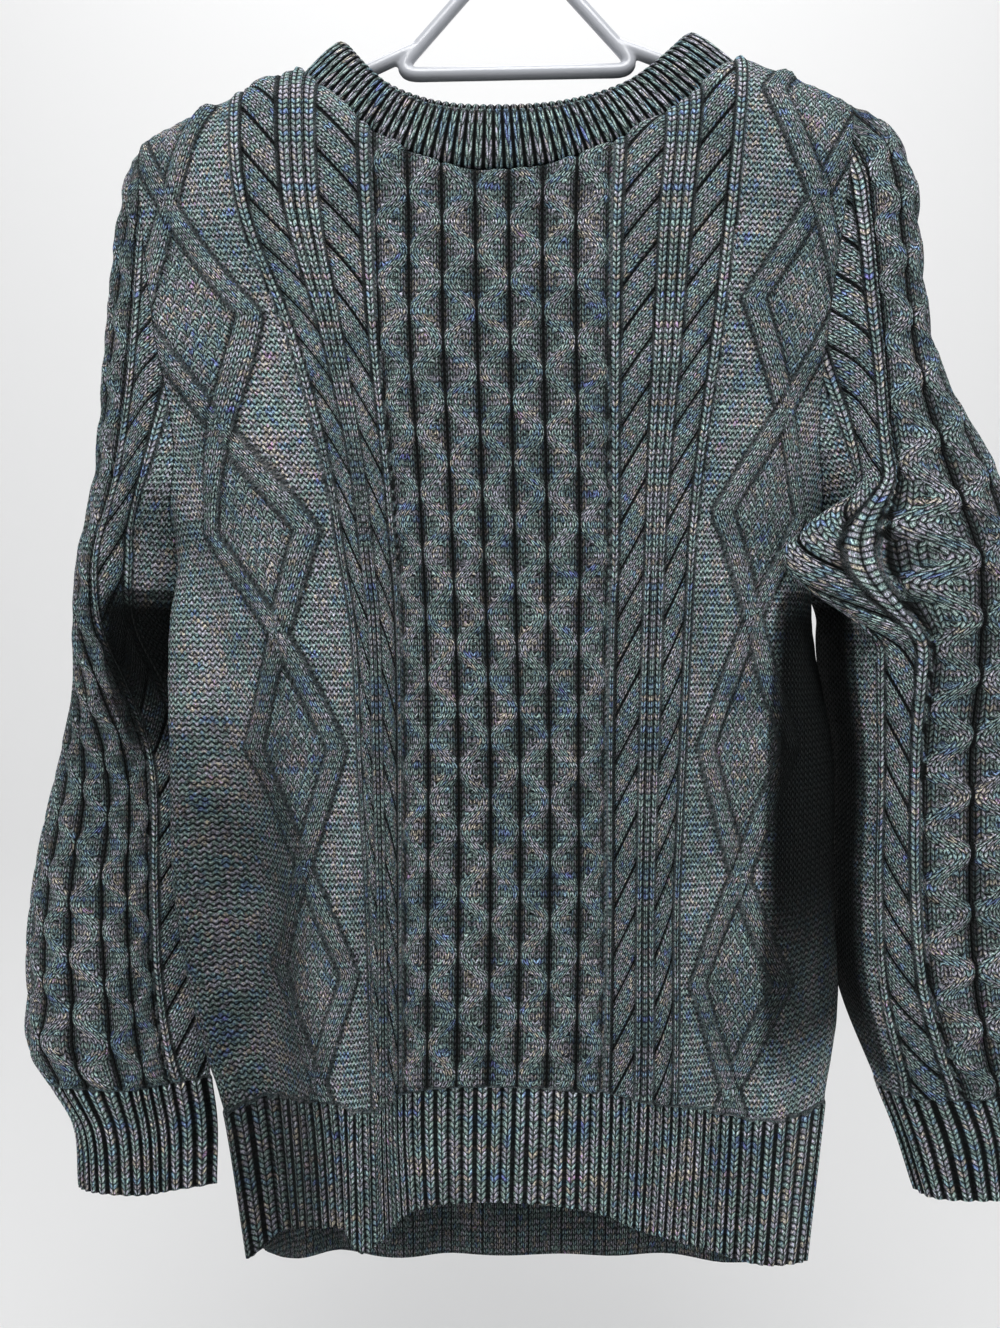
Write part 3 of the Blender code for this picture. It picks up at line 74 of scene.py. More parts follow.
# -------- curves and vectors
def hermite(knots: Sequence[float], values: Array, at: Array) -> Array:
    """Smooth curve through values at knots.

    A cubic runs between each two knots with tangents taken from their neighbours' chords.

    Args:
        knots: rising positions.
        values: one value or row of values for each knot.
        at: positions to read, held inside the first and last knot.

    Returns:
        The values at the positions.
    """
    knots = np.asarray(knots, float)
    values = np.asarray(values, float)
    at = np.clip(np.asarray(at, float), knots[0], knots[-1])
    steps = np.diff(knots)
    slopes = np.diff(values, axis=0) / steps.reshape((-1,) + (1,) * (values.ndim - 1))
    tangents = np.concatenate([slopes[:1], 0.5 * (slopes[:-1] + slopes[1:]), slopes[-1:]])
    span = np.clip(np.searchsorted(knots, at, side="right") - 1, 0, len(knots) - 2)
    shape = (-1,) + (1,) * (values.ndim - 1)
    t = ((at - knots[span]) / steps[span]).reshape(shape)
    width = steps[span].reshape(shape)
    start = values[span] * (1 + 2 * t) * (1 - t) ** 2 + tangents[span] * width * t * (1 - t) ** 2
    end = values[span + 1] * t**2 * (3 - 2 * t) - tangents[span + 1] * width * t**2 * (1 - t)
    return start + end


def column(rows: Sequence[tuple], name: str) -> Array:
    """One named column of a table of rows."""
    return np.array([getattr(row, name) for row in rows], float)


def unit(vectors: Array) -> Array:
    """Vectors scaled to length one."""
    return vectors / np.maximum(np.linalg.norm(vectors, axis=-1, keepdims=True), 1e-9)


def smooth(t: Array) -> Array:
    """Smooth step: 0 below 0, 1 above 1 and 3t^2 - 2t^3 between."""
    t = np.clip(t, 0.0, 1.0)
    return t * t * (3 - 2 * t)


def row_interp(at: Array, knots: Array, values: Array) -> Array:
    """Each row's own straight-line interpolation.

    Args:
        at: one position a row.
        knots: rising positions, one row each.
        values: values at the knots, one row each.

    Returns:
        One value a row.
    """
    index = np.clip((knots <= at[:, None]).sum(axis=1) - 1, 0, knots.shape[1] - 2)
    row = np.arange(len(at))
    low, high = knots[row, index], knots[row, index + 1]
    share = np.clip((at - low) / np.maximum(high - low, 1e-9), 0, 1)
    return values[row, index] * (1 - share) + values[row, index + 1] * share


# -------- hanger
@dataclass(frozen=True)
class HangerLine:
    """Where the hanger's bars run, and where the shoulders rest on them."""

    tube: float = 4.0
    hook_radius: float = 19.0
    stem_foot_z: float = -66.0
    loop_top_half: float = 8.0
    loop_foot_half: float = 70.0
    loop_half: float = 59.0
    loop_shoulder_z: float = -121.5
    loop_foot_z: float = -135.6
    arm_end: float = 182.0
    slope_left: float = 0.46
    slope_right: float = 0.37
    tilt: float = 0.02
    cloth_on_arm: float = 0.6
    wall: float = 3.0

    def slope(self, x: Array) -> Array:
        """How steeply the arm falls at x."""
        return np.where(np.asarray(x) < 0, self.slope_left, self.slope_right)

    def arm_z(self, x: Array) -> Array:
        """Height of the arms' axis: a straight fall outwards from the loop's corners.

        Args:
            x: places along the shoulders.

        Returns:
            The heights.
        """
        x = np.asarray(x, float)
        start = self.loop_shoulder_z + np.sign(x) * self.tilt * self.loop_half
        return start - self.slope(x) * (np.abs(x) - self.loop_half)

    def shoulder_z(self, x: Array) -> Array:
        """Height of the shoulder seam's outer face, a tube's radius and a wall above the axis."""
        lift = self.tube + self.cloth_on_arm + self.wall
        return self.arm_z(x) + lift * np.hypot(1, self.slope(x))


HANGER = HangerLine()


# -------- tables of sections
class BodyRow(NamedTuple):
    """One level of the body: where its wales lie, and the depth of the cloth there.

    Attributes:
        name: what lies at the level.
        z: its height.
        x: eleven wales from the left side to the right: side, outer line, diamond, chain,
            honeycomb, centre, and back outwards in the same order.
        y: depths at the left side, left outer line, front, right outer line, right side, back.
        yoke: 1 where the back lies flat, 0 where it rounds to the side seams.
    """

    name: str
    z: float
    x: tuple[float, ...]
    y: tuple[float, ...]
    yoke: float


class Fold(NamedTuple):
    """A soft crest or trough: where it runs, how wide it is and how far it stands out."""

    name: str
    k_top: float
    k_foot: float
    z_top: float
    z_foot: float
    half_width: float
    rise: float


class Neck(NamedTuple):
    """A ring round the neck: its reach left and right, its depths and its heights."""

    reach_l: float
    reach_r: float
    y_front: float
    y_back: float
    z_front: float
    z_back: float
    z_side_l: float
    z_side_r: float
    power: float


class SleeveRow(NamedTuple):
    """One level of a sleeve: spots of its section, half its knitting and its turn."""

    z: float
    front_x: float
    front_y: float
    outer_x: float
    outer_y: float
    back_x: float
    back_y: float
    inner_x: float
    inner_y: float
    knit: float
    turn: float


class Lump(NamedTuple):
    """A soft lump of a sleeve: where round it and how high, its reach and its push."""

    name: str
    turn: float
    z: float
    half_turn: float
    half_z: float
    push_x: float
    push_y: float


class BandKind(Enum):
    """What a vertical band of the body or a sleeve is knitted as."""

    CHAIN = "chain"
    ROPE = "rope"
    RIB = "rib"


class Band(NamedTuple):
    """A vertical band: its kind and its near and far edge from the pattern's centre line."""

    kind: BandKind
    near: float
    far: float


BODY_ROWS = (
    BodyRow(
        "hem", -780, (-147, -122, -98, -76, -58, -10, 42, 80, 108, 135, 159),
        (-22, -40, -46, -37, -18, 24), 0,
    ),
    BodyRow(
        "welt", -715, (-159, -127, -101, -77, -60, -9, 43, 83, 111, 140, 173),
        (-25, -42, -49, -41, -6, 33), 0,
    ),
    BodyRow(
        "hip", -670, (-172, -131, -106, -78, -60, -8, 44, 84, 113, 144, 182),
        (-27, -44, -50, -43, 1, 37), 0,
    ),
    BodyRow(
        "waist", -600, (-184, -136, -111, -80, -60, -7, 45, 84, 116, 146, 180),
        (-28, -45, -51, -43, 2, 41), 0,
    ),
    BodyRow(
        "rib", -525, (-187, -144, -118, -84, -60, -7, 45, 87, 119, 148, 180),
        (-28, -45, -52, -43, 2, 43), 0,
    ),
    BodyRow(
        "chest", -450, (-189, -156, -127, -88, -61, -9, 46, 90, 123, 150, 168),
        (-26, -46, -53, -41, 1, 44), 0,
    ),
    BodyRow(
        "arm", -415, (-188, -163, -137, -94, -63, -10, 47, 92, 128, 152, 166),
        (-16, -47, -53, -37, -8, 44), 0.2,
    ),
    BodyRow(
        "hole", -375, (-192, -175, -149, -101, -66, -11, 47, 96, 134, 156, 172),
        (-36, -47, -52, -36, -18, 43), 1,
    ),
    BodyRow(
        "yoke", -300, (-220, -205, -170, -122, -73, -13, 47, 107, 148, 175, 195),
        (-36, -42, -49, -32, -26, 41), 1,
    ),
    BodyRow(
        "slope", -230, (-235, -217, -186, -149, -76, -14, 48, 116, 160, 190, 212),
        (-24, -30, -45, -26, -20, 37), 1,
    ),
    BodyRow(
        "top", -170, (-240, -218, -192, -156, -78, -14, 50, 125, 166, 202, 228),
        (0, 0, 0, 0, 0, 0), 1,
    ),
)
WALES = np.array([-250, -222, -194, -160, -118, -56, 0, 56, 118, 160, 194, 222, 250.0])
# The hem's line: knitting across and height.
FRONT_HEM = (
    (-250, -799), (-222, -797), (-196, -783), (-168, -770), (-150, -767), (-132, -777),
    (-108, -776), (-80, -768), (-30, -757), (20, -757), (62, -763), (112, -774), (155, -785),
    (196, -795), (222, -802), (250, -803),
)
BACK_HEM = (
    (-250, -799), (-215, -809), (-150, -818), (0, -819), (150, -821), (215, -812), (250, -803),
)
FRONT_FOLDS = (
    Fold("left side roll", -226, -224, -440, -830, 24, 5),
    Fold("left valley", -198, -196, -500, -830, 30, -15),
    Fold("left crest", -150, -142, -560, -830, 40, 8),
    Fold("left cable roll", -88, -88, -330, -800, 32, 6),
    Fold("right cable roll", 90, 88, -380, -800, 34, 4),
    Fold("right flank", 150, 150, -440, -800, 26, -3),
    Fold("armhole valley left", -176, -206, -290, -470, 20, -6),
    Fold("hem pleat", -128, -130, -690, -830, 18, 5),
)
BACK_FOLDS = (
    Fold("left drape", -120, -130, -330, -840, 44, 8),
    Fold("left hollow", -60, -66, -360, -840, 40, -5),
    Fold("spine hollow", 10, 0, -300, -840, 46, -4),
    Fold("right drape", 95, 110, -340, -840, 44, 7),
)
SLEEVE_ROWS = {
    -1: (
        SleeveRow(-777, -217, 2, -258, 18, -217, 34, -176, 18, 90, 40),
        SleeveRow(-740, -219, 1, -262, 19, -219, 37, -176, 19, 92, 42),
        SleeveRow(-712, -224, -3, -278, 20, -224, 42, -180, 21, 112, 52),
        SleeveRow(-655, -229, -5, -288, 22, -229, 47, -182, 27, 128, 58),
        SleeveRow(-600, -230, -6, -284, 22, -229, 49, -182, 28, 130, 58),
        SleeveRow(-525, -228, -11, -266, 18, -226, 49, -191, 26, 126, 56),
        SleeveRow(-485, -231, -26, -252, 10, -226, 47, -196, 18, 122, 46),
        SleeveRow(-450, -231, -38, -247, 5, -222, 45, -195, 6, 118, 30),
        SleeveRow(-415, -223, -44, -244, 2, -212, 43, -190, -1, 106, 12),
        SleeveRow(-375, -212, -46, -236, 0, -210, 41, -190, -1, 82, 0),
        SleeveRow(-300, -213, -41, -228, 0, -211, 38, -190, -1, 56, 0),
        SleeveRow(-230, -212, -30, -223, 0, -211, 28, -190, -1, 42, 0),
        SleeveRow(-206, -212, -22, -220, 0, -211, 20, -190, -1, 32, 0),
        SleeveRow(-192, -210.5, -12, -215, 0, -210.5, 11, -190, -1, 20, 0),
        SleeveRow(-182, -208.6, -2, -209.6, 0, -208.6, 2, -190, -1, 8, 0),
    ),
    1: (
        SleeveRow(-775, 270, -8, 311, 14, 270, 34, 229, 8, 90, 20),
        SleeveRow(-740, 264, -11, 315, 15, 266, 37, 217, 5, 92, 22),
        SleeveRow(-712, 252, -20, 320, 17, 262, 42, 206, 6, 112, 26),
        SleeveRow(-655, 225, -31, 326, 16, 255, 45, 186, 15, 128, 30),
        SleeveRow(-600, 216, -37, 324, 15, 250, 47, 182, 17, 130, 30),
        SleeveRow(-525, 213, -42, 319, 15, 248, 48, 183, 16, 128, 28),
        SleeveRow(-450, 206, -51, 311, 15, 242, 48, 174, 14, 124, 20),
        SleeveRow(-415, 198, -56, 304, 15, 236, 48, 180, -2, 114, 14),
        SleeveRow(-375, 194, -56, 288, 14, 230, 46, 180, -2, 96, 10),
        SleeveRow(-300, 200, -49, 243, 8, 222, 41, 180, -2, 66, 4),
        SleeveRow(-230, 202, -38, 230, 2, 212, 32, 180, -2, 50, 0),
        SleeveRow(-200, 204, -29, 227, 0, 210, 25, 180, -2, 44, 0),
        SleeveRow(-180, 202, -19, 219, 0, 206, 17, 180, -2, 34, 0),
        SleeveRow(-166, 195, -10, 206, 0, 197, 10, 180, -2, 20, 0),
        SleeveRow(-154, 185.6, -2, 187.0, 0, 185.6, 2, 180, -2, 8, 0),
    ),
}
SLEEVE_LUMPS = {
    -1: (
        Lump("elbow crease", -0.5, -560, 0.3, 40, 0, 4),
        Lump("cuff blouse", -0.2, -690, 0.5, 26, -4, -3),
    ),
    1: (
        Lump("underarm flap", -0.63, -419, 0.30, 48, -51, 0),
        Lump("underarm flap forward", -0.62, -419, 0.36, 48, 0, -14),
        Lump("elbow crease", -0.3, -560, 0.3, 44, 3, 4),
        Lump("cuff blouse", -0.4, -690, 0.5, 26, -3, -4),
    ),
}
ROUND = np.array([-1, -0.82, -0.55, -0.28, 0, 0.28, 0.55, 0.82, 1.0])
BODY_BANDS = (
    Band(BandKind.CHAIN, 57.0, 62.5),
    Band(BandKind.ROPE, 62.5, 80.0),
    Band(BandKind.RIB, 80.0, 85.3),
    Band(BandKind.RIB, 85.3, 90.7),
    Band(BandKind.RIB, 90.7, 96.0),
    Band(BandKind.ROPE, 96.0, 112.0),
    Band(BandKind.CHAIN, 112.0, 118.0),
)
SLEEVE_BANDS = (
    Band(BandKind.CHAIN, 41.0, 46.5),
    Band(BandKind.ROPE, 46.5, 62.5),
    Band(BandKind.CHAIN, 62.5, 68.0),
)
DIAMOND_CROSSINGS = {
    -1: (-830.0, -690.0, -578.0, -457.0, -349.0, -228.0, -110.0, 10.0),
    1: (-830.0, -698.0, -584.0, -448.0, -338.0, -222.0, -105.0, 10.0),
}


# -------- body surface
@dataclass(frozen=True)
class BodyPlan:
    """The front and back panels' surface, worked out from the section tables."""

    half_panel: float = 250.0
    half_shoulder: float = 178.0
    seam_gap: float = 0.42
    seam_tuck: float = 4.0
    seam_behind: float = 14.0
    soft: float = 0.6
    honey_k: float = 56.0
    chain_k: float = 118.0
    diamond_k: float = 194.0
    yoke_fall: float = 0.35
    yoke_fall_k: float = 110.0
    underarm_z: float = -415.0
    roll: float = 3.0
    armhole_hook: int = 5
    neck_x: float = -15.0
    welt_top_z: float = -694.0
    welt_slope: float = 0.55
    hem_crest_z: float = -757.0
    band_top: Neck = Neck(83, 112, -33, 24, -175, -143, -122, -117, 2.7)
    levels: Array = field(default_factory=lambda: column(BODY_ROWS, "z"))

    @property
    def yoke_z(self) -> float:
        """Height where the panel starts to roll over the shoulder."""
        return float(self.levels[-2])

    @property
    def band_foot(self) -> Neck:
        """The neckline, where the band is sewn on; its ends lie on the shoulders.

        Returns:
            The ring.
        """
        left = float(HANGER.shoulder_z(self.neck_x - 106))
        right = float(HANGER.shoulder_z(self.neck_x + 139))
        return Neck(106, 139, -40, 30, -210, -170, left, right, 2.0)

    def wales_x(self, row: BodyRow) -> Array:
        """x of each wale of the front at a level, seam to seam."""
        return np.array([row.x[0] + self.seam_tuck, *row.x, row.x[-1] - self.seam_tuck], float)

    def wales_y(self, row: BodyRow) -> Array:
        """Depth of each wale of the front at a level.

        Args:
            row: the level.

        Returns:
            One depth a wale.
        """
        side_l, outer_l, front, outer_r, side_r, _ = row.y
        soft_l = self.soft * front + (1 - self.soft) * outer_l
        soft_r = self.soft * front + (1 - self.soft) * outer_r
        left = [side_l + self.seam_behind, side_l, outer_l, soft_l]
        right = [soft_r, outer_r, side_r, side_r + self.seam_behind]
        return np.array(left + [front] * 5 + right, float)

    def back_wales(self, row: BodyRow) -> tuple[Array, Array]:
        """x and y of the back's wales: quarter ellipses from the side seams, flat in the yoke.

        Args:
            row: the level.

        Returns:
            x and y, one of each a wale.
        """
        x_front = self.wales_x(row)
        y_front = self.wales_y(row)
        x = x_front.copy()
        y_back = float(row.y[-1])
        y = np.full(len(WALES), y_back)
        for index, wale in enumerate(WALES):
            if abs(wale) < self.honey_k:
                continue
            left = wale < 0
            seam, honey = (0, 5) if left else (-1, 7)
            outward = (self.half_panel - abs(wale)) / (self.half_panel - self.honey_k)
            angle = outward * math.pi / 2
            x_round = x_front[seam] + (x_front[honey] - x_front[seam]) * (1 - math.cos(angle))
            y_round = y_front[seam] + (y_back - y_front[seam]) * math.sin(angle)
            toward_seam = smooth((abs(wale) - self.chain_k) / self.yoke_fall_k)
            y_yoke = y_back * (1 - self.yoke_fall * toward_seam)
            outer = x_front[seam + (2 if left else -2)]
            share = (abs(wale) - self.honey_k) / (self.diamond_k - self.honey_k)
            even = x_front[honey] + (outer - x_front[honey]) * share
            x_flat = (1 - self.soft) * x_front[index] + self.soft * even
            x[index] = x_round + (x_flat - x_round) * row.yoke
            y[index] = y_round + (y_yoke - y_round) * row.yoke
        x[[0, -1]] = x_front[[0, -1]]
        y[[0, -1]] = y_front[[0, -1]]
        return x, y

    def table(self, side: int) -> tuple[Array, Array]:
        """x and y of every wale at every level of a panel.

        Args:
            side: -1 for the front, 1 for the back.

        Returns:
            Two arrays, a row a level and a column a wale.
        """
        if side < 0:
            x = np.array([self.wales_x(row) for row in BODY_ROWS])
            return x, np.array([self.wales_y(row) for row in BODY_ROWS])
        x = np.array([self.back_wales(row)[0] for row in BODY_ROWS])
        x[-1] = self.wales_x(BODY_ROWS[-1])
        return x, np.array([self.back_wales(row)[1] for row in BODY_ROWS])

    def neck_curve(self, neck: Neck, side: int, psi: Array) -> Array:
        """Points of a neck ring.

        x follows the sine of psi, y its cosine, and the height rises from the middle to the
        sides with a power of the sine.

        Args:
            neck: the ring.
            side: -1 for the front, 1 for the back.
            psi: angles, 0 at the middle and a quarter turn at a side.

        Returns:
            One point an angle.
        """
        sine = np.sin(psi)
        reach = np.where(sine < 0, neck.reach_l, neck.reach_r)
        low = neck.z_front if side < 0 else neck.z_back
        high = np.where(sine < 0, neck.z_side_l, neck.z_side_r)
        deep = neck.y_front if side < 0 else neck.y_back
        z = low + (high - low) * np.abs(sine) ** neck.power
        return np.stack([self.neck_x + reach * sine, deep * np.cos(psi), z], axis=-1)

    def top_edge(self, side: int, k: Array) -> tuple[Array, Array, Array]:
        """x, y and z of a panel's top edge: the neckline, and the shoulder seams outside it.

        Args:
            side: -1 for the front, 1 for the back.
            k: knitting across.

        Returns:
            x, y and z, one of each a wale.
        """
        x = hermite(WALES, self.wales_x(BODY_ROWS[-1]), k)
        foot = self.band_foot
        share = (x - self.neck_x) / np.where(x < self.neck_x, foot.reach_l, foot.reach_r)
        neck = self.neck_curve(foot, side, np.arcsin(np.clip(share, -1, 1)))
        gap = side * self.seam_gap / 2
        in_neck = np.abs(share) < 1
        y = np.where(in_neck, neck[:, 1] + gap, gap)
        return x, y, np.where(in_neck, neck[:, 2], HANGER.shoulder_z(x))

    def tip_z(self, hand: int) -> float:
        """Height of the shoulder's tip, where the armhole begins."""
        x = hermite(WALES, self.wales_x(BODY_ROWS[-1]), np.array([hand * self.half_shoulder]))
        return float(HANGER.shoulder_z(x)[0])

    def hem_z(self, side: int, k: Array) -> Array:
        """Height of a panel's hem."""
        places, heights = np.array(FRONT_HEM if side < 0 else BACK_HEM, float).T
        return hermite(places, heights, k)

    def welt_z(self, k: Array) -> Array:
        """Height where the ribbed welt ends and the cables begin."""
        return self.welt_top_z + self.welt_slope * (self.hem_z(-1, k) - self.hem_crest_z)

    def folds(self, side: int, k: Array, z: Array) -> Array:
        """How far the cloth stands out, the sum of its soft folds' squared-cosine sections.

        Args:
            side: -1 for the front, 1 for the back.
            k: knitting across.
            z: heights.

        Returns:
            Lengths outwards.
        """
        out = np.zeros_like(k)
        for fold in FRONT_FOLDS if side < 0 else BACK_FOLDS:
            t = np.clip((fold.z_top - z) / (fold.z_top - fold.z_foot), 0, 1)
            centre = fold.k_top + (fold.k_foot - fold.k_top) * t
            across = np.clip(np.abs(k - centre) / fold.half_width, 0, 1)
            out += fold.rise * np.cos(across * math.pi / 2) ** 2 * smooth(t * 4)
        return out

    def shoulder_roll(self, side: int, k: Array) -> tuple[Array, Array, Array]:
        """Heights, turns over and knitted lengths from the yoke over the roll to the top edge.

        The roll is a quarter of a rounded square: height and depth are powers of a sine and
        a cosine.

        Args:
            side: -1 for the front, 1 for the back.
            k: knitting across.

        Returns:
            Three arrays, a row a wale: heights, turns from 0 to 1, lengths.
        """
        _, y_top, z_top = self.top_edge(side, k)
        y_yoke = hermite(WALES, self.table(side)[1][-2], k)
        angle = np.linspace(0, math.pi / 2, 41)
        up = np.sin(angle) ** (2 / self.roll)
        over = np.broadcast_to(1 - np.cos(angle) ** (2 / self.roll), (len(k), len(angle)))
        z = (z_top - self.yoke_z)[:, None] * up
        y = np.abs(y_top - y_yoke)[:, None] * over
        steps = np.hypot(np.diff(z, axis=1), np.diff(y, axis=1))
        length = np.concatenate([np.zeros((len(k), 1)), np.cumsum(steps, axis=1)], axis=1)
        return self.yoke_z + z, over, self.yoke_z + length

    def top_v(self, side: int, k: Array) -> Array:
        """Knitted height of a panel's top edge."""
        return self.shoulder_roll(side, np.asarray(k, float))[2][:, -1]

    def knitted_v(self, side: int, k: Array, z: Array) -> Array:
        """Knitted height of a panel's point that lies at height z."""
        heights, _, lengths = self.shoulder_roll(side, np.asarray(k, float))
        return np.where(z > self.yoke_z, row_interp(z, heights, lengths), z)

    def height_z(self, side: int, k: Array, v: Array) -> Array:
        """Height of a panel's point at knitted height v."""
        heights, _, lengths = self.shoulder_roll(side, np.asarray(k, float))
        return np.where(v > self.yoke_z, row_interp(v, lengths, heights), v)

    def point(self, side: int, k: Array, v: Array) -> Array:
        """Outer face of a panel at wale k and knitted height v.

        Each level of the table gives x and y of its wales; smooth curves join them across
        and up, the folds are added, and above the yoke the cloth rolls over to the top edge.

        Args:
            side: -1 for the front, 1 for the back.
            k: knitting across.
            v: knitted heights.

        Returns:
            One point a place.
        """
        k = np.asarray(k, float)
        v = np.asarray(v, float)
        _, y_top, z_top = self.top_edge(side, k)
        heights, turns, lengths = self.shoulder_roll(side, k)
        z = np.where(v > self.yoke_z, row_interp(v, lengths, heights), v)
        roll = np.where(v > self.yoke_z, row_interp(v, lengths, turns), 0)
        upper = np.clip((z - self.yoke_z) / (z_top - self.yoke_z), 0, 1)
        second = self.levels[1]
        lower = np.clip((second - z) / (second - self.hem_z(side, k)), 0, 1)
        nominal = np.where(z > self.yoke_z, self.yoke_z + upper * (self.levels[-1] - self.yoke_z), z)
        nominal = np.where(z < second, second + lower * (self.levels[0] - second), nominal)
        across = hermite(WALES, np.eye(len(WALES)), k)
        table_x, table_y = self.table(side)
        x = (across * hermite(self.levels, table_x, nominal)).sum(axis=1)
        rows_y = hermite(self.levels[:-1], table_y[:-1], np.minimum(nominal, self.yoke_z))
        y = (across * rows_y).sum(axis=1)
        calm = smooth((self.half_panel - 6 - np.abs(k)) / 30) * smooth((self.yoke_z - 10 - z) / 60)
        y = y + side * self.folds(side, k, z) * calm
        y = y + (y_top - y) * roll
        at_seam = np.abs(k) > self.half_panel - 1e-6
        y = y + np.where(at_seam, side * self.seam_gap / 2, 0) * (z <= self.underarm_z)
        return np.stack([x, y, z], axis=-1)

    def armhole_k(self, hand: int, z: Array) -> Array:
        """Wale where the armhole cuts a panel at height z, and the side seam below it.

        Args:
            hand: -1 for the left, 1 for the right.
            z: heights.

        Returns:
            Knitting across, never negative.
        """
        tip = self.tip_z(hand)
        share = np.clip((tip - z) / (tip - self.underarm_z), 0, 1)
        return self.half_shoulder + (self.half_panel - self.half_shoulder) * share**self.armhole_hook

    def armhole_point(self, side: int, hand: int, z: Array) -> Array:
        """A panel's armhole edge at height z.

        Args:
            side: -1 for the front, 1 for the back.
            hand: -1 for the left, 1 for the right.
            z: heights.

        Returns:
            One point a height.
        """
        z = np.asarray(z, float)
        k = hand * self.armhole_k(hand, z)
        return self.point(side, k, self.knitted_v(side, k, z))

    def normal(self, side: int, k: Array, v: Array, step: float = 0.6) -> Array:
        """Outward normals, from the surface's differences across and up.

        Args:
            side: -1 for the front, 1 for the back.
            k: knitting across.
            v: knitted heights.
            step: half the span of a difference.

        Returns:
            One direction a place.
        """
        v = np.minimum(v, self.top_v(side, k) - 1.0)
        k = np.clip(k, -self.half_panel + 1, self.half_panel - 1)
        across = self.point(side, k + step, v) - self.point(side, k - step, v)
        up = self.point(side, k, v + step) - self.point(side, k, v - step)
        return -side * unit(np.cross(across, up))


BODY = BodyPlan()


# -------- sleeve surface
@dataclass(frozen=True)
class SleevePlan:
    """One sleeve's surface: a closed section at each height, from its table."""

    hand: int
    cable_ease: float = 3.0
    inner_fullness: float = 0.5
    pocket_drop: float = 20.0
    pocket_ease: float = 40.0
    underarm_ease: float = 35.0
    cable_share: float = 0.7
    back_fullness: float = 0.72

    @property
    def fullness(self) -> float:
        """How square the front outer corner of the section is."""
        return 0.72 if self.hand < 0 else 0.60

    @property
    def pocket_fullness(self) -> float:
        """How much fuller the inner corners are below the arm."""
        return 0.0 if self.hand < 0 else 0.3

    # Where the painted shade under the arm lies on the sleeve's inner side.
    @property
    def shade_turn(self) -> float:
        """How far round to the front seam the dark under the arm begins."""
        return 0.60 if self.hand < 0 else 0.79

    @property
    def shade_foot(self) -> float:
        """Height where the dark under the arm ends."""
        return -545.0 if self.hand < 0 else -730.0

    @property
    def foot_z(self) -> float:
        """Height of the cuff's edge."""
        return SLEEVE_ROWS[self.hand][0].z

    def read(self, name: str, z: Array) -> Array:
        """A column of the sleeve's table at heights z."""
        rows = SLEEVE_ROWS[self.hand]
        return hermite(column(rows, "z"), column(rows, name), z)

    def point(self, turn: Array, z: Array) -> Array:
        """Outer face: turn goes -1 at the front seam, 0 at the outer line, 1 at the back.

        Nine spots stand round each section and a smooth closed curve joins them; the first
        and last lie on the armhole above the underarm and on the sleeve's own seam below it.

        Args:
            turn: turns round the section, -1 to 1.
            z: heights.

        Returns:
            One point a place.
        """
        hand = self.hand
        turn = np.asarray(turn, float)
        z = np.asarray(z, float)
        high = BODY.tip_z(hand)
        under = BODY.underarm_z
        inner = np.stack([self.read("inner_x", z), self.read("inner_y", z)], axis=-1)
        arm = np.clip(z, under, high)
        crotch = np.full(1, under)
        foot = sum(BODY.armhole_point(side, hand, crotch)[:, :2] for side in (-1, 1)) / 2
        row_foot = np.stack([self.read("inner_x", crotch), self.read("inner_y", crotch)], axis=-1)
        shift = np.array([hand * BODY.seam_gap, 0.0])
        above = (z > under + 1e-6)[:, None]
        rise = smooth((z - (under - self.underarm_ease)) / self.underarm_ease)[:, None]
        inner = inner + rise * (foot - row_foot)
        seam_f = np.where(above, BODY.armhole_point(-1, hand, arm)[:, :2], inner) + shift
        seam_b = np.where(above, BODY.armhole_point(1, hand, arm)[:, :2], inner) + shift
        ease = self.cable_ease * smooth((high - z) / 30)
        lean = self.cable_share * ease
        front = np.stack([self.read("front_x", z), self.read("front_y", z) + lean], axis=-1)
        outer = np.stack([self.read("outer_x", z) - hand * ease, self.read("outer_y", z)], axis=-1)
        back = np.stack([self.read("back_x", z), self.read("back_y", z) - lean], axis=-1)

        low = smooth((under - self.pocket_drop - z) / self.pocket_ease)
        inside = self.inner_fullness + self.pocket_fullness * low

        def corner(along_y: Array, along_x: Array, full: Array) -> Array:
            """A spot between two others, nearer to the corner that they box in.

            Args:
                along_y: spots that give y's start.
                along_x: spots that give x's start.
                full: 0 for rounded, 1 for square.

            Returns:
                The spots.
            """
            x = along_x[:, 0] + (along_y[:, 0] - along_x[:, 0]) * full
            y = along_y[:, 1] + (along_x[:, 1] - along_y[:, 1]) * full
            return np.stack([x, y], axis=-1)

        ring = [
            seam_f, corner(seam_f, front, inside), front,
            corner(outer, front, self.fullness), outer, corner(outer, back, self.back_fullness),
            back, corner(seam_b, back, inside), seam_b,
        ]
        weights = hermite(ROUND, np.eye(len(ROUND)), turn)
        xy = sum(weights[:, index, None] * spot for index, spot in enumerate(ring))
        for lump in SLEEVE_LUMPS[hand]:
            near = np.clip(np.abs(turn - lump.turn) / lump.half_turn, 0, 1)
            level = np.clip(np.abs(z - lump.z) / lump.half_z, 0, 1)
            push = np.cos(near * math.pi / 2) ** 2 * np.cos(level * math.pi / 2) ** 2
            xy = xy + push[:, None] * np.array([lump.push_x, lump.push_y])
        return np.concatenate([xy, z[:, None]], axis=1)

    def normal(self, turn: Array, z: Array, step: float = 0.006) -> Array:
        """Outward normals, the same on both sides of the sleeve's own seam.

        Args:
            turn: turns round the section, -1 to 1.
            z: heights.
            step: half the span of a difference in turn.

        Returns:
            One direction a place.
        """
        z = np.clip(z, self.foot_z + 1, BODY.tip_z(self.hand) - 1)
        turn = np.clip(turn, -0.97, 0.97)

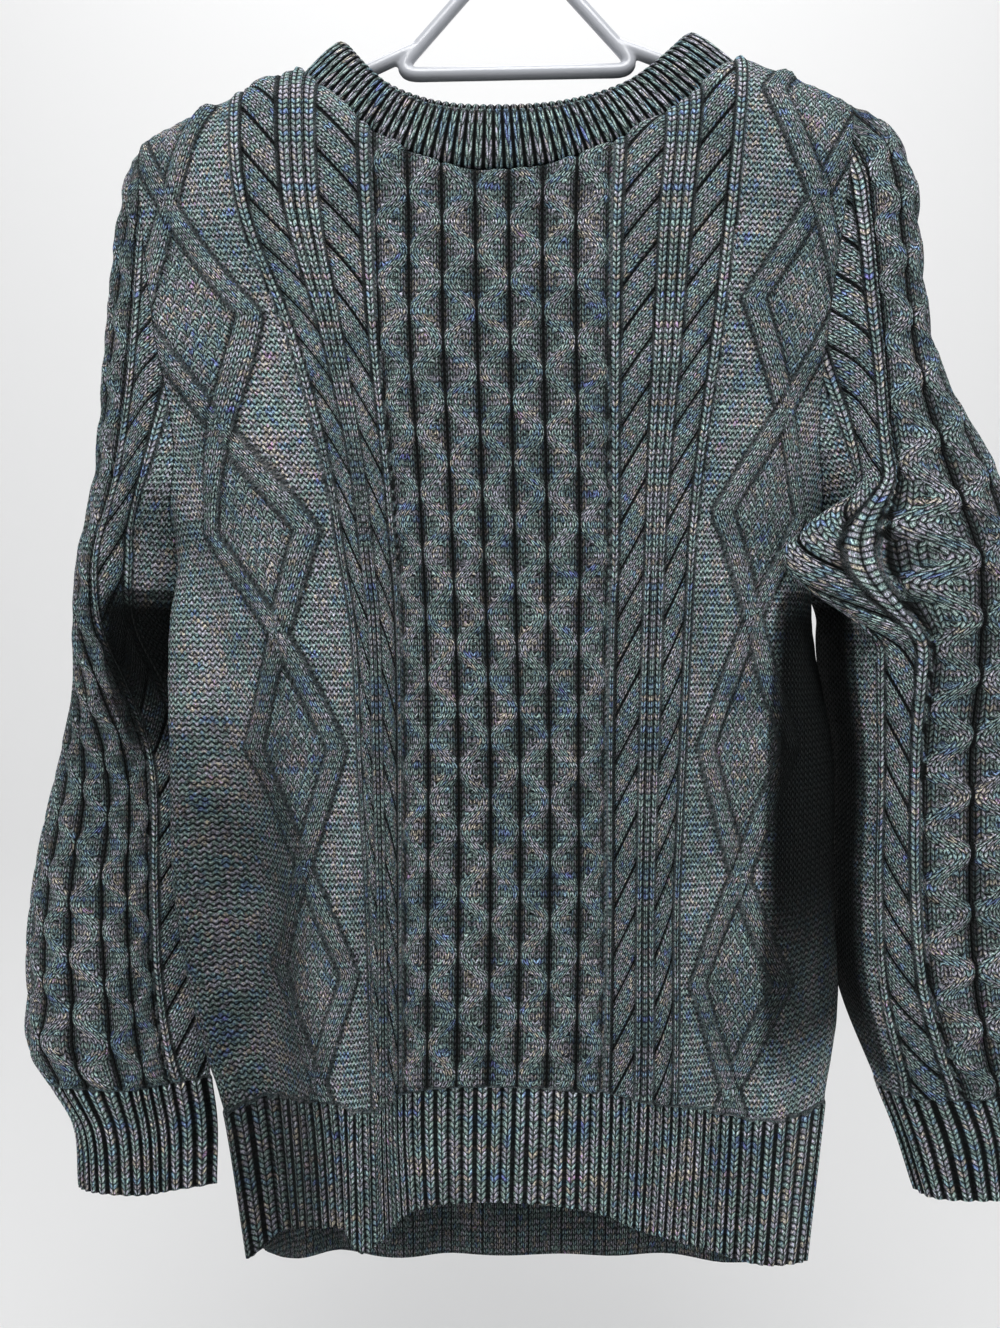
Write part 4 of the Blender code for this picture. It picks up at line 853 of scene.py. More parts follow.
        def direct(at: Array) -> Array:
            """Directions from the surface's differences round the section and up.

            Args:
                at: turns round the section.

            Returns:
                One direction a turn.
            """
            across = self.point(at + step, z) - self.point(at - step, z)
            up = self.point(at, z + 0.6) - self.point(at, z - 0.6)
            return unit(np.cross(across, up))

        here = direct(turn)
        near_seam = ((np.abs(turn) > 0.965) & (z < BODY.underarm_z))[:, None]
        if near_seam.any():
            here = np.where(near_seam, unit(here + direct(-turn)), here)
        return self.hand * here


def armhole_rim(side: int, sleeve: SleevePlan, z: Array) -> Array:
    """The shared direction of both walls where sleeve and panel meet.

    Args:
        side: -1 for the front, 1 for the back.
        sleeve: the sleeve's surface.
        z: heights.

    Returns:
        One direction a height.
    """
    hand = sleeve.hand
    k = hand * (BODY.armhole_k(hand, z) - 3)
    from_body = BODY.normal(side, k, BODY.knitted_v(side, k, z))
    from_sleeve = sleeve.normal(np.full(len(z), side * 0.96), z)
    low = smooth((BODY.underarm_z + 40 - z) / 40)[:, None]
    tip = smooth((z - BODY.tip_z(hand) + 8) / 8)[:, None]
    bias = low * np.array([0, 0, -1.2]) + tip * np.array([hand * 0.2, 0, 1.6])
    return unit(from_body + from_sleeve + bias)


# -------- knitting charts
@dataclass
class Knitted:
    """What the chart says at each point of a piece.

    Attributes:
        rise: height over the wall, in millimetres.
        wale: stitches across, a whole number at each stitch's edge.
        course: stitches up.
        knit: 1 where the knit side shows and 0 where the purl side does.
        ladder: position across, a whole number on each ladder line, which is darkened with
            painted shade.
        ladder_on: how strongly the painted shade of the ladder lines shows.
        moss: 1 where knit and purl alternate as in moss stitch.
        shade: painted shade that darkens the wool's colour: how deep the point lies between
        raised cables, 0 to 1, and up to 2 in the painted shade under an arm.
    """

    rise: Array
    wale: Array
    course: Array
    knit: Array
    ladder: Array
    ladder_on: Array
    moss: Array
    shade: Array

    def put(self, inside: Array, **values: Array) -> None:
        """Writes values where inside is true."""
        for name, value in values.items():
            setattr(self, name, np.where(inside, value, getattr(self, name)))

    @property
    def stitch(self) -> Array:
        """Wale, course and knit side as one vector a point."""
        return np.stack([self.wale, self.course, self.knit], axis=-1)

    @property
    def pattern(self) -> Array:
        """Ladder position, its strength and the moss share as one vector a point."""
        return np.stack([self.ladder, self.ladder_on, self.moss], axis=-1)


@dataclass(frozen=True)
class Chart:
    """The sweater's stitch patterns, with their sizes on the cloth."""

    # Every shade value below is painted shade: it darkens the wool's colour in hollows, grooves, between
    # ribs, on the inside and under the arms.
    stitch_width: float = 2.667
    stitch_height: float = 3.2
    honey_column: float = 16.0
    honey_period: float = 32.0
    honey_sway: float = 4.0
    honey_rope: float = 4.9
    honey_rise: float = 3.4
    cell_rise: float = 1.6
    cell_shade: float = 0.85
    cell_ease: float = 2.2
    ladder_half: float = 0.9
    ladder_cut: float = 0.55
    honey_lean: float = 0.28
    rope_ease: float = 1.08
    groove_cut: float = 0.62
    groove_half: float = 0.13
    ground_rise: float = 0.35
    ground_wave: float = 0.22
    ground_shade: float = 0.25
    moss_rise: float = 0.7
    beside_reach: float = 1.35
    beside_shade: float = 0.8
    rope_pitch: float = 25.0
    rope_rise: float = 3.6
    rib_rise: float = 1.7
    chain_rise: float = 2.0
    diamond_centre: float = 160.0
    diamond_reach: float = 28.0
    diamond_band: float = 6.5
    diamond_rise: float = 3.2
    hem_ribs: int = 71
    cuff_ribs: int = 31
    cuff_height: float = 62.0
    pocket_shade: float = 2.0
    rib_shade: float = 0.6
    flank_shade: float = 0.52
    pocket_k: float = 170.0
    pocket_top: float = -425.0
    pocket_foot: float = -730.0
    flank_k: float = 128.0
    flank_top: float = -400.0
    cuff_pitch: float = 6.0
    inside_shade: float = 0.42
    body_columns: int = 7
    sleeve_columns: int = 5
    edge_fade: float = 7.0

    def blank(self, k: Array, z: Array) -> Knitted:
        """Reverse stocking stitch everywhere: the ground of the pattern.

        Args:
            k: knitting across.
            z: heights.

        Returns:
            The chart.
        """
        wavy = self.ground_wave * np.sin(k / 2.1) * np.sin(z / 3.3)
        nil = np.zeros_like(k)
        # The ground gets a little painted shade, as it lies below the cables.
        return Knitted(
            rise=self.ground_rise + wavy, wale=k / self.stitch_width, course=z / self.stitch_height,
            knit=nil.copy(), ladder=nil.copy(), ladder_on=nil.copy(), moss=nil.copy(),
            shade=nil + self.ground_shade,
        )

    def honeycomb(self, cloth: Knitted, k: Array, z: Array, columns: int) -> None:
        """Ropes that sway against their neighbours and meet down each ladder line.

        A rope's centre line is a cosine of the height and its section a half ellipse; the
        cell between two ropes swells to less than half their height.

        Args:
            cloth: the chart to write to.
            k: knitting across.
            z: heights.
            columns: how many ropes there are.
        """
        inside = np.abs(k) < columns * self.honey_column / 2
        phase = 2 * math.pi * z / self.honey_period
        ladder = k / self.honey_column + columns / 2
        off_ladder = np.abs(ladder - np.round(ladder)) * self.honey_column
        rise = self.cell_rise * (1 - np.exp(-((off_ladder / self.cell_ease) ** 2)))
        wale = k.copy()
        for index in range(columns):
            sign = (-1) ** index
            centre = (index - (columns - 1) / 2) * self.honey_column
            off = k - centre - self.honey_sway * sign * np.cos(phase)
            lean = self.honey_lean * sign * np.sin(phase) * np.clip(off / self.honey_rope, -1, 1)
            bulge = np.sqrt(np.clip(1 - (off / (self.honey_rope * self.rope_ease)) ** 2, 0, 1))
            rope = self.honey_rise * bulge * (1 + lean)
            wale = np.where(rope > rise, off + centre, wale)
            rise = np.maximum(rise, rope)
        rise = rise * (1 - self.ladder_cut * np.exp(-((off_ladder / self.ladder_half) ** 2)))
        # Painted shade: the wool is darkened in the cells between the ropes, and the ladder lines show most
        # there.
        shade = self.cell_shade * np.clip(1 - rise / (0.75 * self.honey_rise), 0, 1)
        cloth.put(
            inside, rise=rise, wale=wale / self.stitch_width, knit=np.ones_like(k),
            ladder=ladder, ladder_on=0.5 + 0.5 * np.clip(1.6 * shade, 0, 1), shade=shade,
        )

    def rope(self, cloth: Knitted, inside: Array, out: Array, z: Array, band: Band) -> None:
        """A two-strand cable: slanted strands, parted by a narrow groove once a pitch.

        Args:
            cloth: the chart to write to.
            inside: where to write.
            out: distances from the middle.
            z: heights.
            band: its edges.
        """
        width = band.far - band.near
        x = (2 * out - band.near - band.far) / width
        phase = z / self.rope_pitch - x / 2
        groove = np.abs(phase - np.round(phase - 0.5) - 0.5)
        strand = 1 - self.groove_cut * np.exp(-((groove / self.groove_half) ** 2))
        rise = self.rope_rise * np.clip(1 - x**2, 0, 1) ** 0.42 * strand
        slant = math.atan2(self.rope_pitch, width)
        wale = (z * math.cos(slant) - out * math.sin(slant)) / self.stitch_width
        course = (out * math.cos(slant) + z * math.sin(slant)) / self.stitch_height
        # Painted shade: the wool darkens towards the strands' edges and in the grooves, with a dark line
        # along each groove.
        shade = np.clip(1 - rise / (0.7 * self.rope_rise), 0, 1)
        cloth.put(
            inside, rise=rise, wale=wale, course=course, knit=np.ones_like(out), shade=shade,
            ladder=phase - 0.5, ladder_on=np.full_like(out, 0.75),
        )

    def bands(self, cloth: Knitted, k: Array, z: Array, bands: Sequence[Band]) -> None:
        """Chains, rope cables and ribs each side of the honeycomb.

        Args:
            cloth: the chart to write to.
            k: knitting across.
            z: heights.
            bands: what is knitted, from the middle out.
        """
        out = np.abs(k)
        for band in bands:
            inside = (out >= band.near) & (out < band.far)
            if band.kind is BandKind.ROPE:
                self.rope(cloth, inside, out, z, band)
                continue
            high = self.rib_rise if band.kind is BandKind.RIB else self.chain_rise
            x = np.clip(np.abs(2 * out - band.near - band.far) / (band.far - band.near), 0, 1)
            rise = high * np.maximum(np.cos(x * math.pi / 2), 0) ** 0.7
            across = (out - (band.near + band.far) / 2) / (band.far - band.near) / 0.8
            wale = np.clip(across, -0.5, 0.5) + 0.5
            # Painted shade: the wool darkens towards each band's edges.
            cloth.put(inside, rise=rise, wale=wale, knit=np.ones_like(k), shade=x**3)

    def diamonds(self, cloth: Knitted, k: Array, z: Array) -> None:
        """Two bands each side that travel apart and cross, with moss stitch between them.

        Args:
            cloth: the chart to write to.
            k: knitting across.
            z: heights.
        """
        for hand in (-1, 1):
            crossings = DIAMOND_CROSSINGS[hand]
            turn = np.interp(z, crossings, np.arange(len(crossings)))
            wave = 1 - 2 * np.abs(np.mod(turn + 0.5, 2) - 1)
            reach = self.diamond_reach * wave
            off_centre = k - hand * self.diamond_centre
            outside = np.abs(k) > BODY.chain_k
            between = (np.abs(off_centre) < np.abs(reach)) & outside
            seeds = self.ground_rise * np.sin(k / 1.7) * np.sin(z / 2.1)
            cloth.put(between, moss=np.ones_like(k), rise=self.moss_rise + seeds)
            for side in (-1, 1):
                off = (off_centre - side * reach) / self.diamond_band
                rise = self.diamond_rise * np.sqrt(np.clip(1 - off**2, 0, 1))
                rise = rise * (1 - 0.12 * np.cos(3 * math.pi * off))
                inside = (np.abs(off) < 1) & (rise > cloth.rise)
                beside = (np.abs(off) >= 1) & (np.abs(off) < self.beside_reach) & outside
                # Painted shade: the wool darkens towards a band's edges and just alongside it.
                shade = np.clip(1 - rise / (0.6 * self.diamond_rise), 0, 1)
                wale = off * self.diamond_band / self.stitch_width + 0.5
                cloth.put(beside, shade=self.beside_shade - 1.3 * (np.abs(off) - 1))
                cloth.put(inside, rise=rise, wale=wale, knit=np.ones_like(k), moss=0 * k, shade=shade)

    def ribs(self, cloth: Knitted, inside: Array, place: Array, pitch: float) -> None:
        """Ribbing: a column of knit stitches stands up once a pitch.

        Args:
            cloth: the chart to write to.
            inside: where to write.
            place: positions across the ribs.
            pitch: a rib's width.
        """
        peak = np.round(place / pitch)
        off = place - peak * pitch
        rise = self.rib_rise * np.maximum(np.cos(math.pi * off / pitch), 0) ** 0.8
        wale = peak + np.clip(off / (0.62 * pitch), -0.5, 0.5) + 0.5
        # Painted shade: the wool is darkened between the ribs.
        shade = self.rib_shade * smooth((np.abs(off) / pitch - 0.28) / 0.2)
        nil = np.zeros_like(place)
        cloth.put(inside, rise=rise, wale=wale, knit=nil + 1, moss=nil, ladder_on=nil, shade=shade)

    def body(self, k: Array, v: Array) -> Knitted:
        """The chart of the front and back panels.

        Args:
            k: knitting across.
            v: knitted heights.

        Returns:
            The chart.
        """
        cloth = self.blank(k, v)
        self.diamonds(cloth, k, v)
        self.honeycomb(cloth, k, v, self.body_columns)
        self.bands(cloth, k, v, BODY_BANDS)
        pitch = 2 * BODY.half_panel / self.hem_ribs
        cloth.put(v < BODY.welt_z(k), course=v / self.stitch_height)
        self.ribs(cloth, v < BODY.welt_z(k), k + BODY.half_panel, pitch)
        # Painted shade: the wool is darkened deeply in the pocket under the right arm and less down the left
        # flank's fold.
        under_arm = smooth((self.pocket_top - v) / 30) * smooth((v - self.pocket_foot) / 160)
        pocket = self.pocket_shade * smooth((k - self.pocket_k) / 14) * under_arm
        flank = self.flank_shade * smooth((-k - self.flank_k) / 50) * smooth((self.flank_top - v) / 170)
        cloth.shade = np.maximum(cloth.shade, np.maximum(pocket, flank))
        return cloth

    def sleeve(self, plan: SleevePlan, turn: Array, z: Array) -> Knitted:
        """The chart of a sleeve, turned a little to the front on its own section.

        Args:
            plan: the sleeve's surface.
            turn: turns round the section, -1 to 1.
            z: heights.

        Returns:
            The chart.
        """
        k = turn * plan.read("knit", z) + plan.read("turn", z)
        cloth = self.blank(k, z)
        self.honeycomb(cloth, k, z, self.sleeve_columns)
        self.bands(cloth, k, z, SLEEVE_BANDS)
        cuff = z < plan.foot_z + self.cuff_height
        cloth.put(cuff, course=z / self.stitch_height)
        self.ribs(cloth, cuff, self.around_cuff(turn), self.cuff_pitch)
        # Painted shade: the inner side of the sleeve is darkened deeply under the arm.
        start = plan.shade_turn
        inner = smooth((-turn - start) / 0.10) * smooth((self.pocket_top - z) / 20)
        inner = inner * smooth((z - plan.shade_foot) / 80)
        cloth.shade = np.maximum(cloth.shade, self.pocket_shade * inner)
        return cloth

    def around_cuff(self, turn: Array) -> Array:
        """Position round a cuff, a rib's pitch at each rib."""
        return (turn + 1) / 2 * self.cuff_ribs * self.cuff_pitch

    def plain_inside(self, k: Array, v: Array, ribbed: Array, pitch: float) -> Knitted:
        """The chart of a piece's inside: purl, and dark lines between its ribs where it is ribbed.

        Args:
            k: positions across the ribs.
            v: knitted heights.
            ribbed: where it is ribbed.
            pitch: a rib's width.

        Returns:
            The chart.
        """
        cloth = self.blank(k, v)
        # Painted shade: the inside is darkened evenly, and along the lines between its ribs.
        on = np.where(ribbed, 1.0, 0.0)
        shade = np.full(k.shape, self.inside_shade)
        cloth.put(np.full(k.shape, True), ladder=k / pitch, ladder_on=on, knit=on, shade=shade)
        return cloth


CHART = Chart()


# -------- skins
class Skin:
    """Collects grids of points and their faces, and turns them into one mesh object."""

    def __init__(self) -> None:
        """Starts an empty skin."""
        self.points: list[Array] = []
        self.stitch: list[Array] = []
        self.pattern: list[Array] = []
        self.shade: list[Array] = []
        self.vertex: list[Array] = []
        self.faces: list[Array] = []
        self.count = 0

    def add_points(self, points: Array, cloth: Knitted, weld: Optional[Array] = None) -> Array:
        """Adds a grid of points with what is knitted there.

        Args:
            points: array (rows, columns, 3).
            cloth: the chart at the same points.
            weld: for each point of the grid the flat index of the one it is welded to.

        Returns:
            The grid of point numbers that faces use.
        """
        size = points.shape[0] * points.shape[1]
        numbers = np.arange(size) + self.count
        self.points.append(points.reshape(-1, 3))
        self.stitch.append(cloth.stitch.reshape(-1, 3))
        self.pattern.append(cloth.pattern.reshape(-1, 3))
        self.shade.append(cloth.shade.reshape(-1))
        self.vertex.append(numbers if weld is None else weld + self.count)
        self.count += size
        return numbers.reshape(points.shape[:2])

    def add_grid(self, numbers: Array, flip: bool = False) -> None:
        """Adds a quad for each cell of a grid of point numbers.

        Args:
            numbers: the grid of point numbers.
            flip: turns the faces round.
        """
        quads = np.stack(
            [numbers[:-1, :-1], numbers[1:, :-1], numbers[1:, 1:], numbers[:-1, 1:]], axis=-1
        ).reshape(-1, 4)
        self.faces.append(quads[:, ::-1] if flip else quads)

    def add_wall(
        self, outer: Array, inner: Array, cloth: Knitted, plain: Knitted, flip: bool,
        seam: Optional[int] = None,
    ) -> None:
        """Adds a fine outer grid, a coarse inner one and the rims that close them.

        Args:
            outer: points of the outer face, array (rows, columns, 3).
            inner: points of the inner face, every fourth one each way.
            cloth: the chart of the outer face.
            plain: the chart of the inner face.
            flip: turns the faces round.
            seam: the column up to which the first and last row are one.
        """
        start = seam or 0
        numbers = self.add_points(outer, cloth, seam_weld(outer.shape[:2], seam))
        inner_seam = None if seam is None else seam // COARSE
        inside = self.add_points(inner, plain, seam_weld(inner.shape[:2], inner_seam))
        self.add_grid(numbers, flip)
        self.add_grid(inside, not flip)
        ends = ((0, flip), (-1, not flip))
        for at, turned in ends:
            self.add_rim(numbers[:, at], inside[:, at], not turned)
        for at, turned in ends:
            self.add_rim(numbers[at, start:], inside[at, start // COARSE :], turned)

    def add_rim(self, outer: Array, inner: Array, flip: bool = False) -> None:
        """Joins a fine edge to a coarse one: four outer steps fan on to each inner step.

        Args:
            outer: point numbers along the fine edge.
            inner: point numbers along the coarse edge.
            flip: turns the faces round.
        """
        starts = outer[:-1:COARSE]
        fan = [outer[step::COARSE][: len(starts)] for step in range(COARSE)]
        fan.append(outer[COARSE::COARSE])
        low, high = inner[:-1], inner[1:]
        triangles = [
            (fan[0], fan[1], low), (fan[1], fan[2], low), (low, fan[2], high),
            (fan[2], fan[3], high), (fan[3], fan[4], high),
        ]
        rim = np.concatenate([np.stack(corners, axis=-1) for corners in triangles])
        self.faces.append(rim[:, ::-1] if flip else rim)

    def to_object(self, name: str) -> bpy.types.Object:
        """Makes the mesh object, with its faces pointing outwards.

        Args:
            name: the piece's name.

        Returns:
            The object, at the origin.
        """
        points = np.concatenate(self.points) * MM
        vertex = np.concatenate(self.vertex)
        corners = np.concatenate([face.reshape(-1) for face in self.faces])
        sizes = np.concatenate([np.full(len(face), face.shape[1]) for face in self.faces])
        used, index = np.unique(vertex[corners], return_inverse=True)
        starts = np.concatenate([[0], np.cumsum(sizes)[:-1]])
        mesh = bpy.data.meshes.new(name)
        mesh.vertices.add(len(used))
        mesh.vertices.foreach_set("co", points[used].astype(np.float32).reshape(-1))
        mesh.loops.add(len(corners))
        mesh.loops.foreach_set("vertex_index", index.astype(np.int32).reshape(-1))
        mesh.polygons.add(len(sizes))
        mesh.polygons.foreach_set("loop_start", starts.astype(np.int32))
        mesh.polygons.foreach_set("use_smooth", np.ones(len(sizes), bool))
        mesh.update(calc_edges=True)
        for label, values in (("stitch", self.stitch), ("pattern", self.pattern)):
            layer = mesh.attributes.new(label, "FLOAT_VECTOR", "CORNER")
            layer.data.foreach_set("vector", np.concatenate(values)[corners].astype(np.float32).reshape(-1))
        layer = mesh.attributes.new("shade", "FLOAT", "CORNER")
        layer.data.foreach_set("value", np.concatenate(self.shade)[corners].astype(np.float32))
        mesh.validate()
        made = bpy.data.objects.new(name, mesh)
        bpy.context.scene.collection.objects.link(made)
        return made


def seam_weld(shape: tuple[int, int], seam: Optional[int]) -> Optional[Array]:
    """Which points of a grid are one, where its first and last row meet in a seam.

    Args:
        shape: rows and columns of the grid.
        seam: the last column of the seam, or none where the piece has no seam.

    Returns:
        For each point the flat index of the one it shares, or none.
    """
    if seam is None:
        return None
    numbers = np.arange(shape[0] * shape[1]).reshape(shape)
    numbers[-1, : seam + 1] = numbers[0, : seam + 1]
    return numbers.reshape(-1)


# -------- body panels
@dataclass
class BodyPanel:
    """The front or the back panel, knitted in one with its welt."""

    side: Side
    name: str
    node: str
    slot: str
    columns: int = 265
    rows: int = 321
    edge_wall: float = 3.0
    cabled_wall: float = 4.8
    flat_width: float = 0.50
    flat_length: float = 0.67
    to_underarm: float = 0.42
    yoke_width: float = 0.39
    shoulder_drop: float = 0.04
    neck_width: float = 0.18
    front_scoop: float = 0.07
    back_scoop: float = 0.02
    scoop_share: float = 0.7

    def plan(self) -> tuple[Array, Array]:
        """Wale and knitted height of each grid point.

        Rows run from the hem to the top edge in equal shares of each column's own length,
        and columns in equal shares of the width between the armholes or side seams.

        Returns:
            Two arrays, a row a column of knitting.
        """
        side = self.side.value
        s = np.linspace(-1, 1, self.columns)
        t = np.linspace(0, 1, self.rows)
        foot = BODY.hem_z(side, s * BODY.half_panel)
        top = BODY.top_v(side, s * BODY.half_shoulder)
        v = foot[:, None] + (top - foot)[:, None] * t
        half = {}
        for hand, index in ((-1, 0), (1, -1)):
            edge_v = v[index]
            k = np.full(self.rows, BODY.half_panel)
            for _ in range(8):
                k = BODY.armhole_k(hand, BODY.height_z(side, hand * k, edge_v))
            half[hand] = k
        k = s[:, None] * np.where(s[:, None] < 0, half[-1][None, :], half[1][None, :])
        return k, v

    def edge_normals(self, normals: Array, k: Array, v: Array) -> None:
        """Turns the wall's direction at the seams to the one shared with the next piece.

        Args:
            normals: directions of the wall, changed in place.
            k: knitting across.
            v: knitted heights.
        """
        side = self.side.value
        for hand, column_at in ((-1, 0), (1, -1)):
            z = BODY.height_z(side, k[column_at], v[column_at])
            low = z <= BODY.underarm_z
            other = BODY.normal(-side, k[column_at], np.minimum(z, BODY.yoke_z))
            shared = unit(normals[column_at] + other)
            rim = armhole_rim(side, SleevePlan(hand), np.clip(z, BODY.underarm_z, BODY.tip_z(hand)))
            normals[column_at] = np.where(low[:, None], shared, rim)
        other = BODY.normal(-side, k[:, -1], BODY.top_v(-side, k[:, -1]))
        x, _, _ = BODY.top_edge(side, k[:, -1])
        foot = BODY.band_foot
        share = (x - BODY.neck_x) / np.where(x < BODY.neck_x, foot.reach_l, foot.reach_r)
        on_shoulder = (np.abs(share) >= 1)[:, None]
        normals[:, -1] = np.where(on_shoulder, unit(normals[:, -1] + other), normals[:, -1])

    def cut_area(self) -> float:
        """Flat area of the cut, from garment measures and not from the mesh.

        A rectangle to the underarm, a narrower one to the sloping shoulders, less a rounded
        neck scoop, a share of its width times its depth.

        Returns:
            The area in square metres.
        """
        scoop = self.front_scoop if self.side is Side.FRONT else self.back_scoop
        yoke = self.yoke_width * (self.flat_length - self.to_underarm - self.shoulder_drop / 2)
        return self.flat_width * self.to_underarm + yoke - self.scoop_share * self.neck_width * scoop

    def build(self) -> bpy.types.Object:
        """Builds the panel's skin: raised knitting outside, a plain inside and closed edges.

        Returns:
            The mesh object.
        """
        side = self.side.value
        k, v = self.plan()
        shape = k.shape
        flat_k, flat_v = k.reshape(-1), v.reshape(-1)
        points = BODY.point(side, flat_k, flat_v).reshape(shape + (3,))
        normals = BODY.normal(side, flat_k, flat_v).reshape(shape + (3,))
        self.edge_normals(normals, k, v)
        cloth = CHART.body(flat_k, flat_v)
        height = BODY.height_z(side, flat_k, flat_v)
        to_top = BODY.top_v(side, flat_k) - flat_v
        to_arm = np.minimum(BODY.armhole_k(-1, height) + flat_k, BODY.armhole_k(1, height) - flat_k)
        fade = smooth(to_top / CHART.edge_fade) * smooth(to_arm / CHART.edge_fade)
        rise = (cloth.rise * fade).reshape(shape)
        outer = points + normals * rise[..., None]
        deep = self.edge_wall + (self.cabled_wall - self.edge_wall) * smooth((BODY.yoke_z - v) / 50)
        deep[[0, -1], :] = self.edge_wall
        deep[:, [0, -1]] = self.edge_wall
        inner = (points - normals * deep[..., None])[::COARSE, ::COARSE]
        pitch = 2 * BODY.half_panel / CHART.hem_ribs
        k_in, v_in = k[::COARSE, ::COARSE], v[::COARSE, ::COARSE]
        ribbed = v_in < BODY.welt_z(k_in[0])[None, :]
        plain = CHART.plain_inside(k_in + BODY.half_panel, v_in, ribbed, pitch)
        skin = Skin()
        skin.add_wall(outer, inner, cloth, plain, side > 0)
        made = skin.to_object(self.name)
        log.info("%s: %d faces", self.name, len(made.data.polygons))
        return made


# -------- sleeves
@dataclass
class Sleeve:
    """A sleeve knitted in one with its cuff: a tube that hangs from its armhole."""

    hand: Hand
    name: str
    node: str
    slot: str
    columns: int = 193
    rows_low: int = 225
    rows_high: int = 128
    wall: float = 3.0
    flat_width: float = 0.33
    flat_length: float = 0.62
    cuff_round: float = 0.20
    cap_height: float = 0.14
    cap_share: float = 0.6

    def heights(self) -> Array:
        """Heights of the rows, with one exactly at the underarm.

        Returns:
            The heights, from the cuff up.
        """
        plan = SleevePlan(self.hand.value)
        low = np.linspace(plan.foot_z, BODY.underarm_z, self.rows_low)
        share = np.linspace(0, 1, self.rows_high + 1)
        high = BODY.underarm_z + (BODY.tip_z(self.hand.value) - BODY.underarm_z) * np.sin(share * math.pi / 2)
        return np.concatenate([low, high[1:]])

    def rims(self, normals: Array, z: Array, plan: SleevePlan) -> None:
        """Turns the wall's direction at the seam and the armhole to the shared one.

        Args:
            normals: directions of the wall, changed in place.
            z: heights of the rows.
            plan: the sleeve's surface.
        """
        for side, column_at in ((-1, 0), (1, -1)):
            above = z >= BODY.underarm_z - 1e-6
            normals[column_at, above] = armhole_rim(side, plan, z[above])
        under = self.rows_low - 1
        low = slice(0, under + 1)
        both = unit(normals[0, low] + normals[-1, low])
        normals[0, low] = both
        normals[-1, low] = both

    def cut_area(self) -> float:
        """Flat area of the cut all round, from garment measures and not from the mesh.

        A taper from the upper arm to the cuff, and a rounded cap, a share of its width times
        its height.

        Returns:
            The area in square metres.
        """
        taper = (self.flat_width + self.cuff_round) / 2 * (self.flat_length - self.cap_height)
        return taper + self.cap_share * self.flat_width * self.cap_height

    def build(self) -> bpy.types.Object:
        """Builds the sleeve's skin, open at the cuff and the armhole.

        Returns:
            The mesh object.
        """
        hand = self.hand.value
        plan = SleevePlan(hand)
        z_rows = self.heights()
        turn = np.repeat(np.linspace(-1, 1, self.columns)[:, None], len(z_rows), axis=1)
        z = np.broadcast_to(z_rows, turn.shape)
        shape = turn.shape
        flat_turn, flat_z = turn.reshape(-1), z.reshape(-1)
        points = plan.point(flat_turn, flat_z).reshape(shape + (3,))
        normals = plan.normal(flat_turn, flat_z).reshape(shape + (3,))
        self.rims(normals, z_rows, plan)
        cloth = CHART.sleeve(plan, flat_turn, flat_z)
        to_seam = plan.read("knit", flat_z) * (1 - np.abs(flat_turn))
        cuff = flat_z < plan.foot_z + CHART.cuff_height
        fade = smooth(to_seam / CHART.edge_fade) * smooth((BODY.tip_z(hand) - flat_z) / CHART.edge_fade)
        fade = np.where(cuff, np.maximum(fade, 0.5), fade)
        rise = (cloth.rise * fade).reshape(shape)
        rise[-1] = rise[0]
        outer = points + normals * rise[..., None]
        outer[-1, : self.rows_low] = outer[0, : self.rows_low]
        inner = (points - normals * self.wall)[::COARSE, ::COARSE]
        around = CHART.around_cuff(turn[::COARSE, ::COARSE])
        z_in = z[::COARSE, ::COARSE]
        ribbed = z_in < plan.foot_z + CHART.cuff_height
        plain = CHART.plain_inside(around, z_in, ribbed, CHART.cuff_pitch)
        skin = Skin()
        skin.add_wall(outer, inner, cloth, plain, hand > 0, self.rows_low - 1)
        made = skin.to_object(self.name)
        log.info("%s: %d faces", self.name, len(made.data.polygons))
        return made


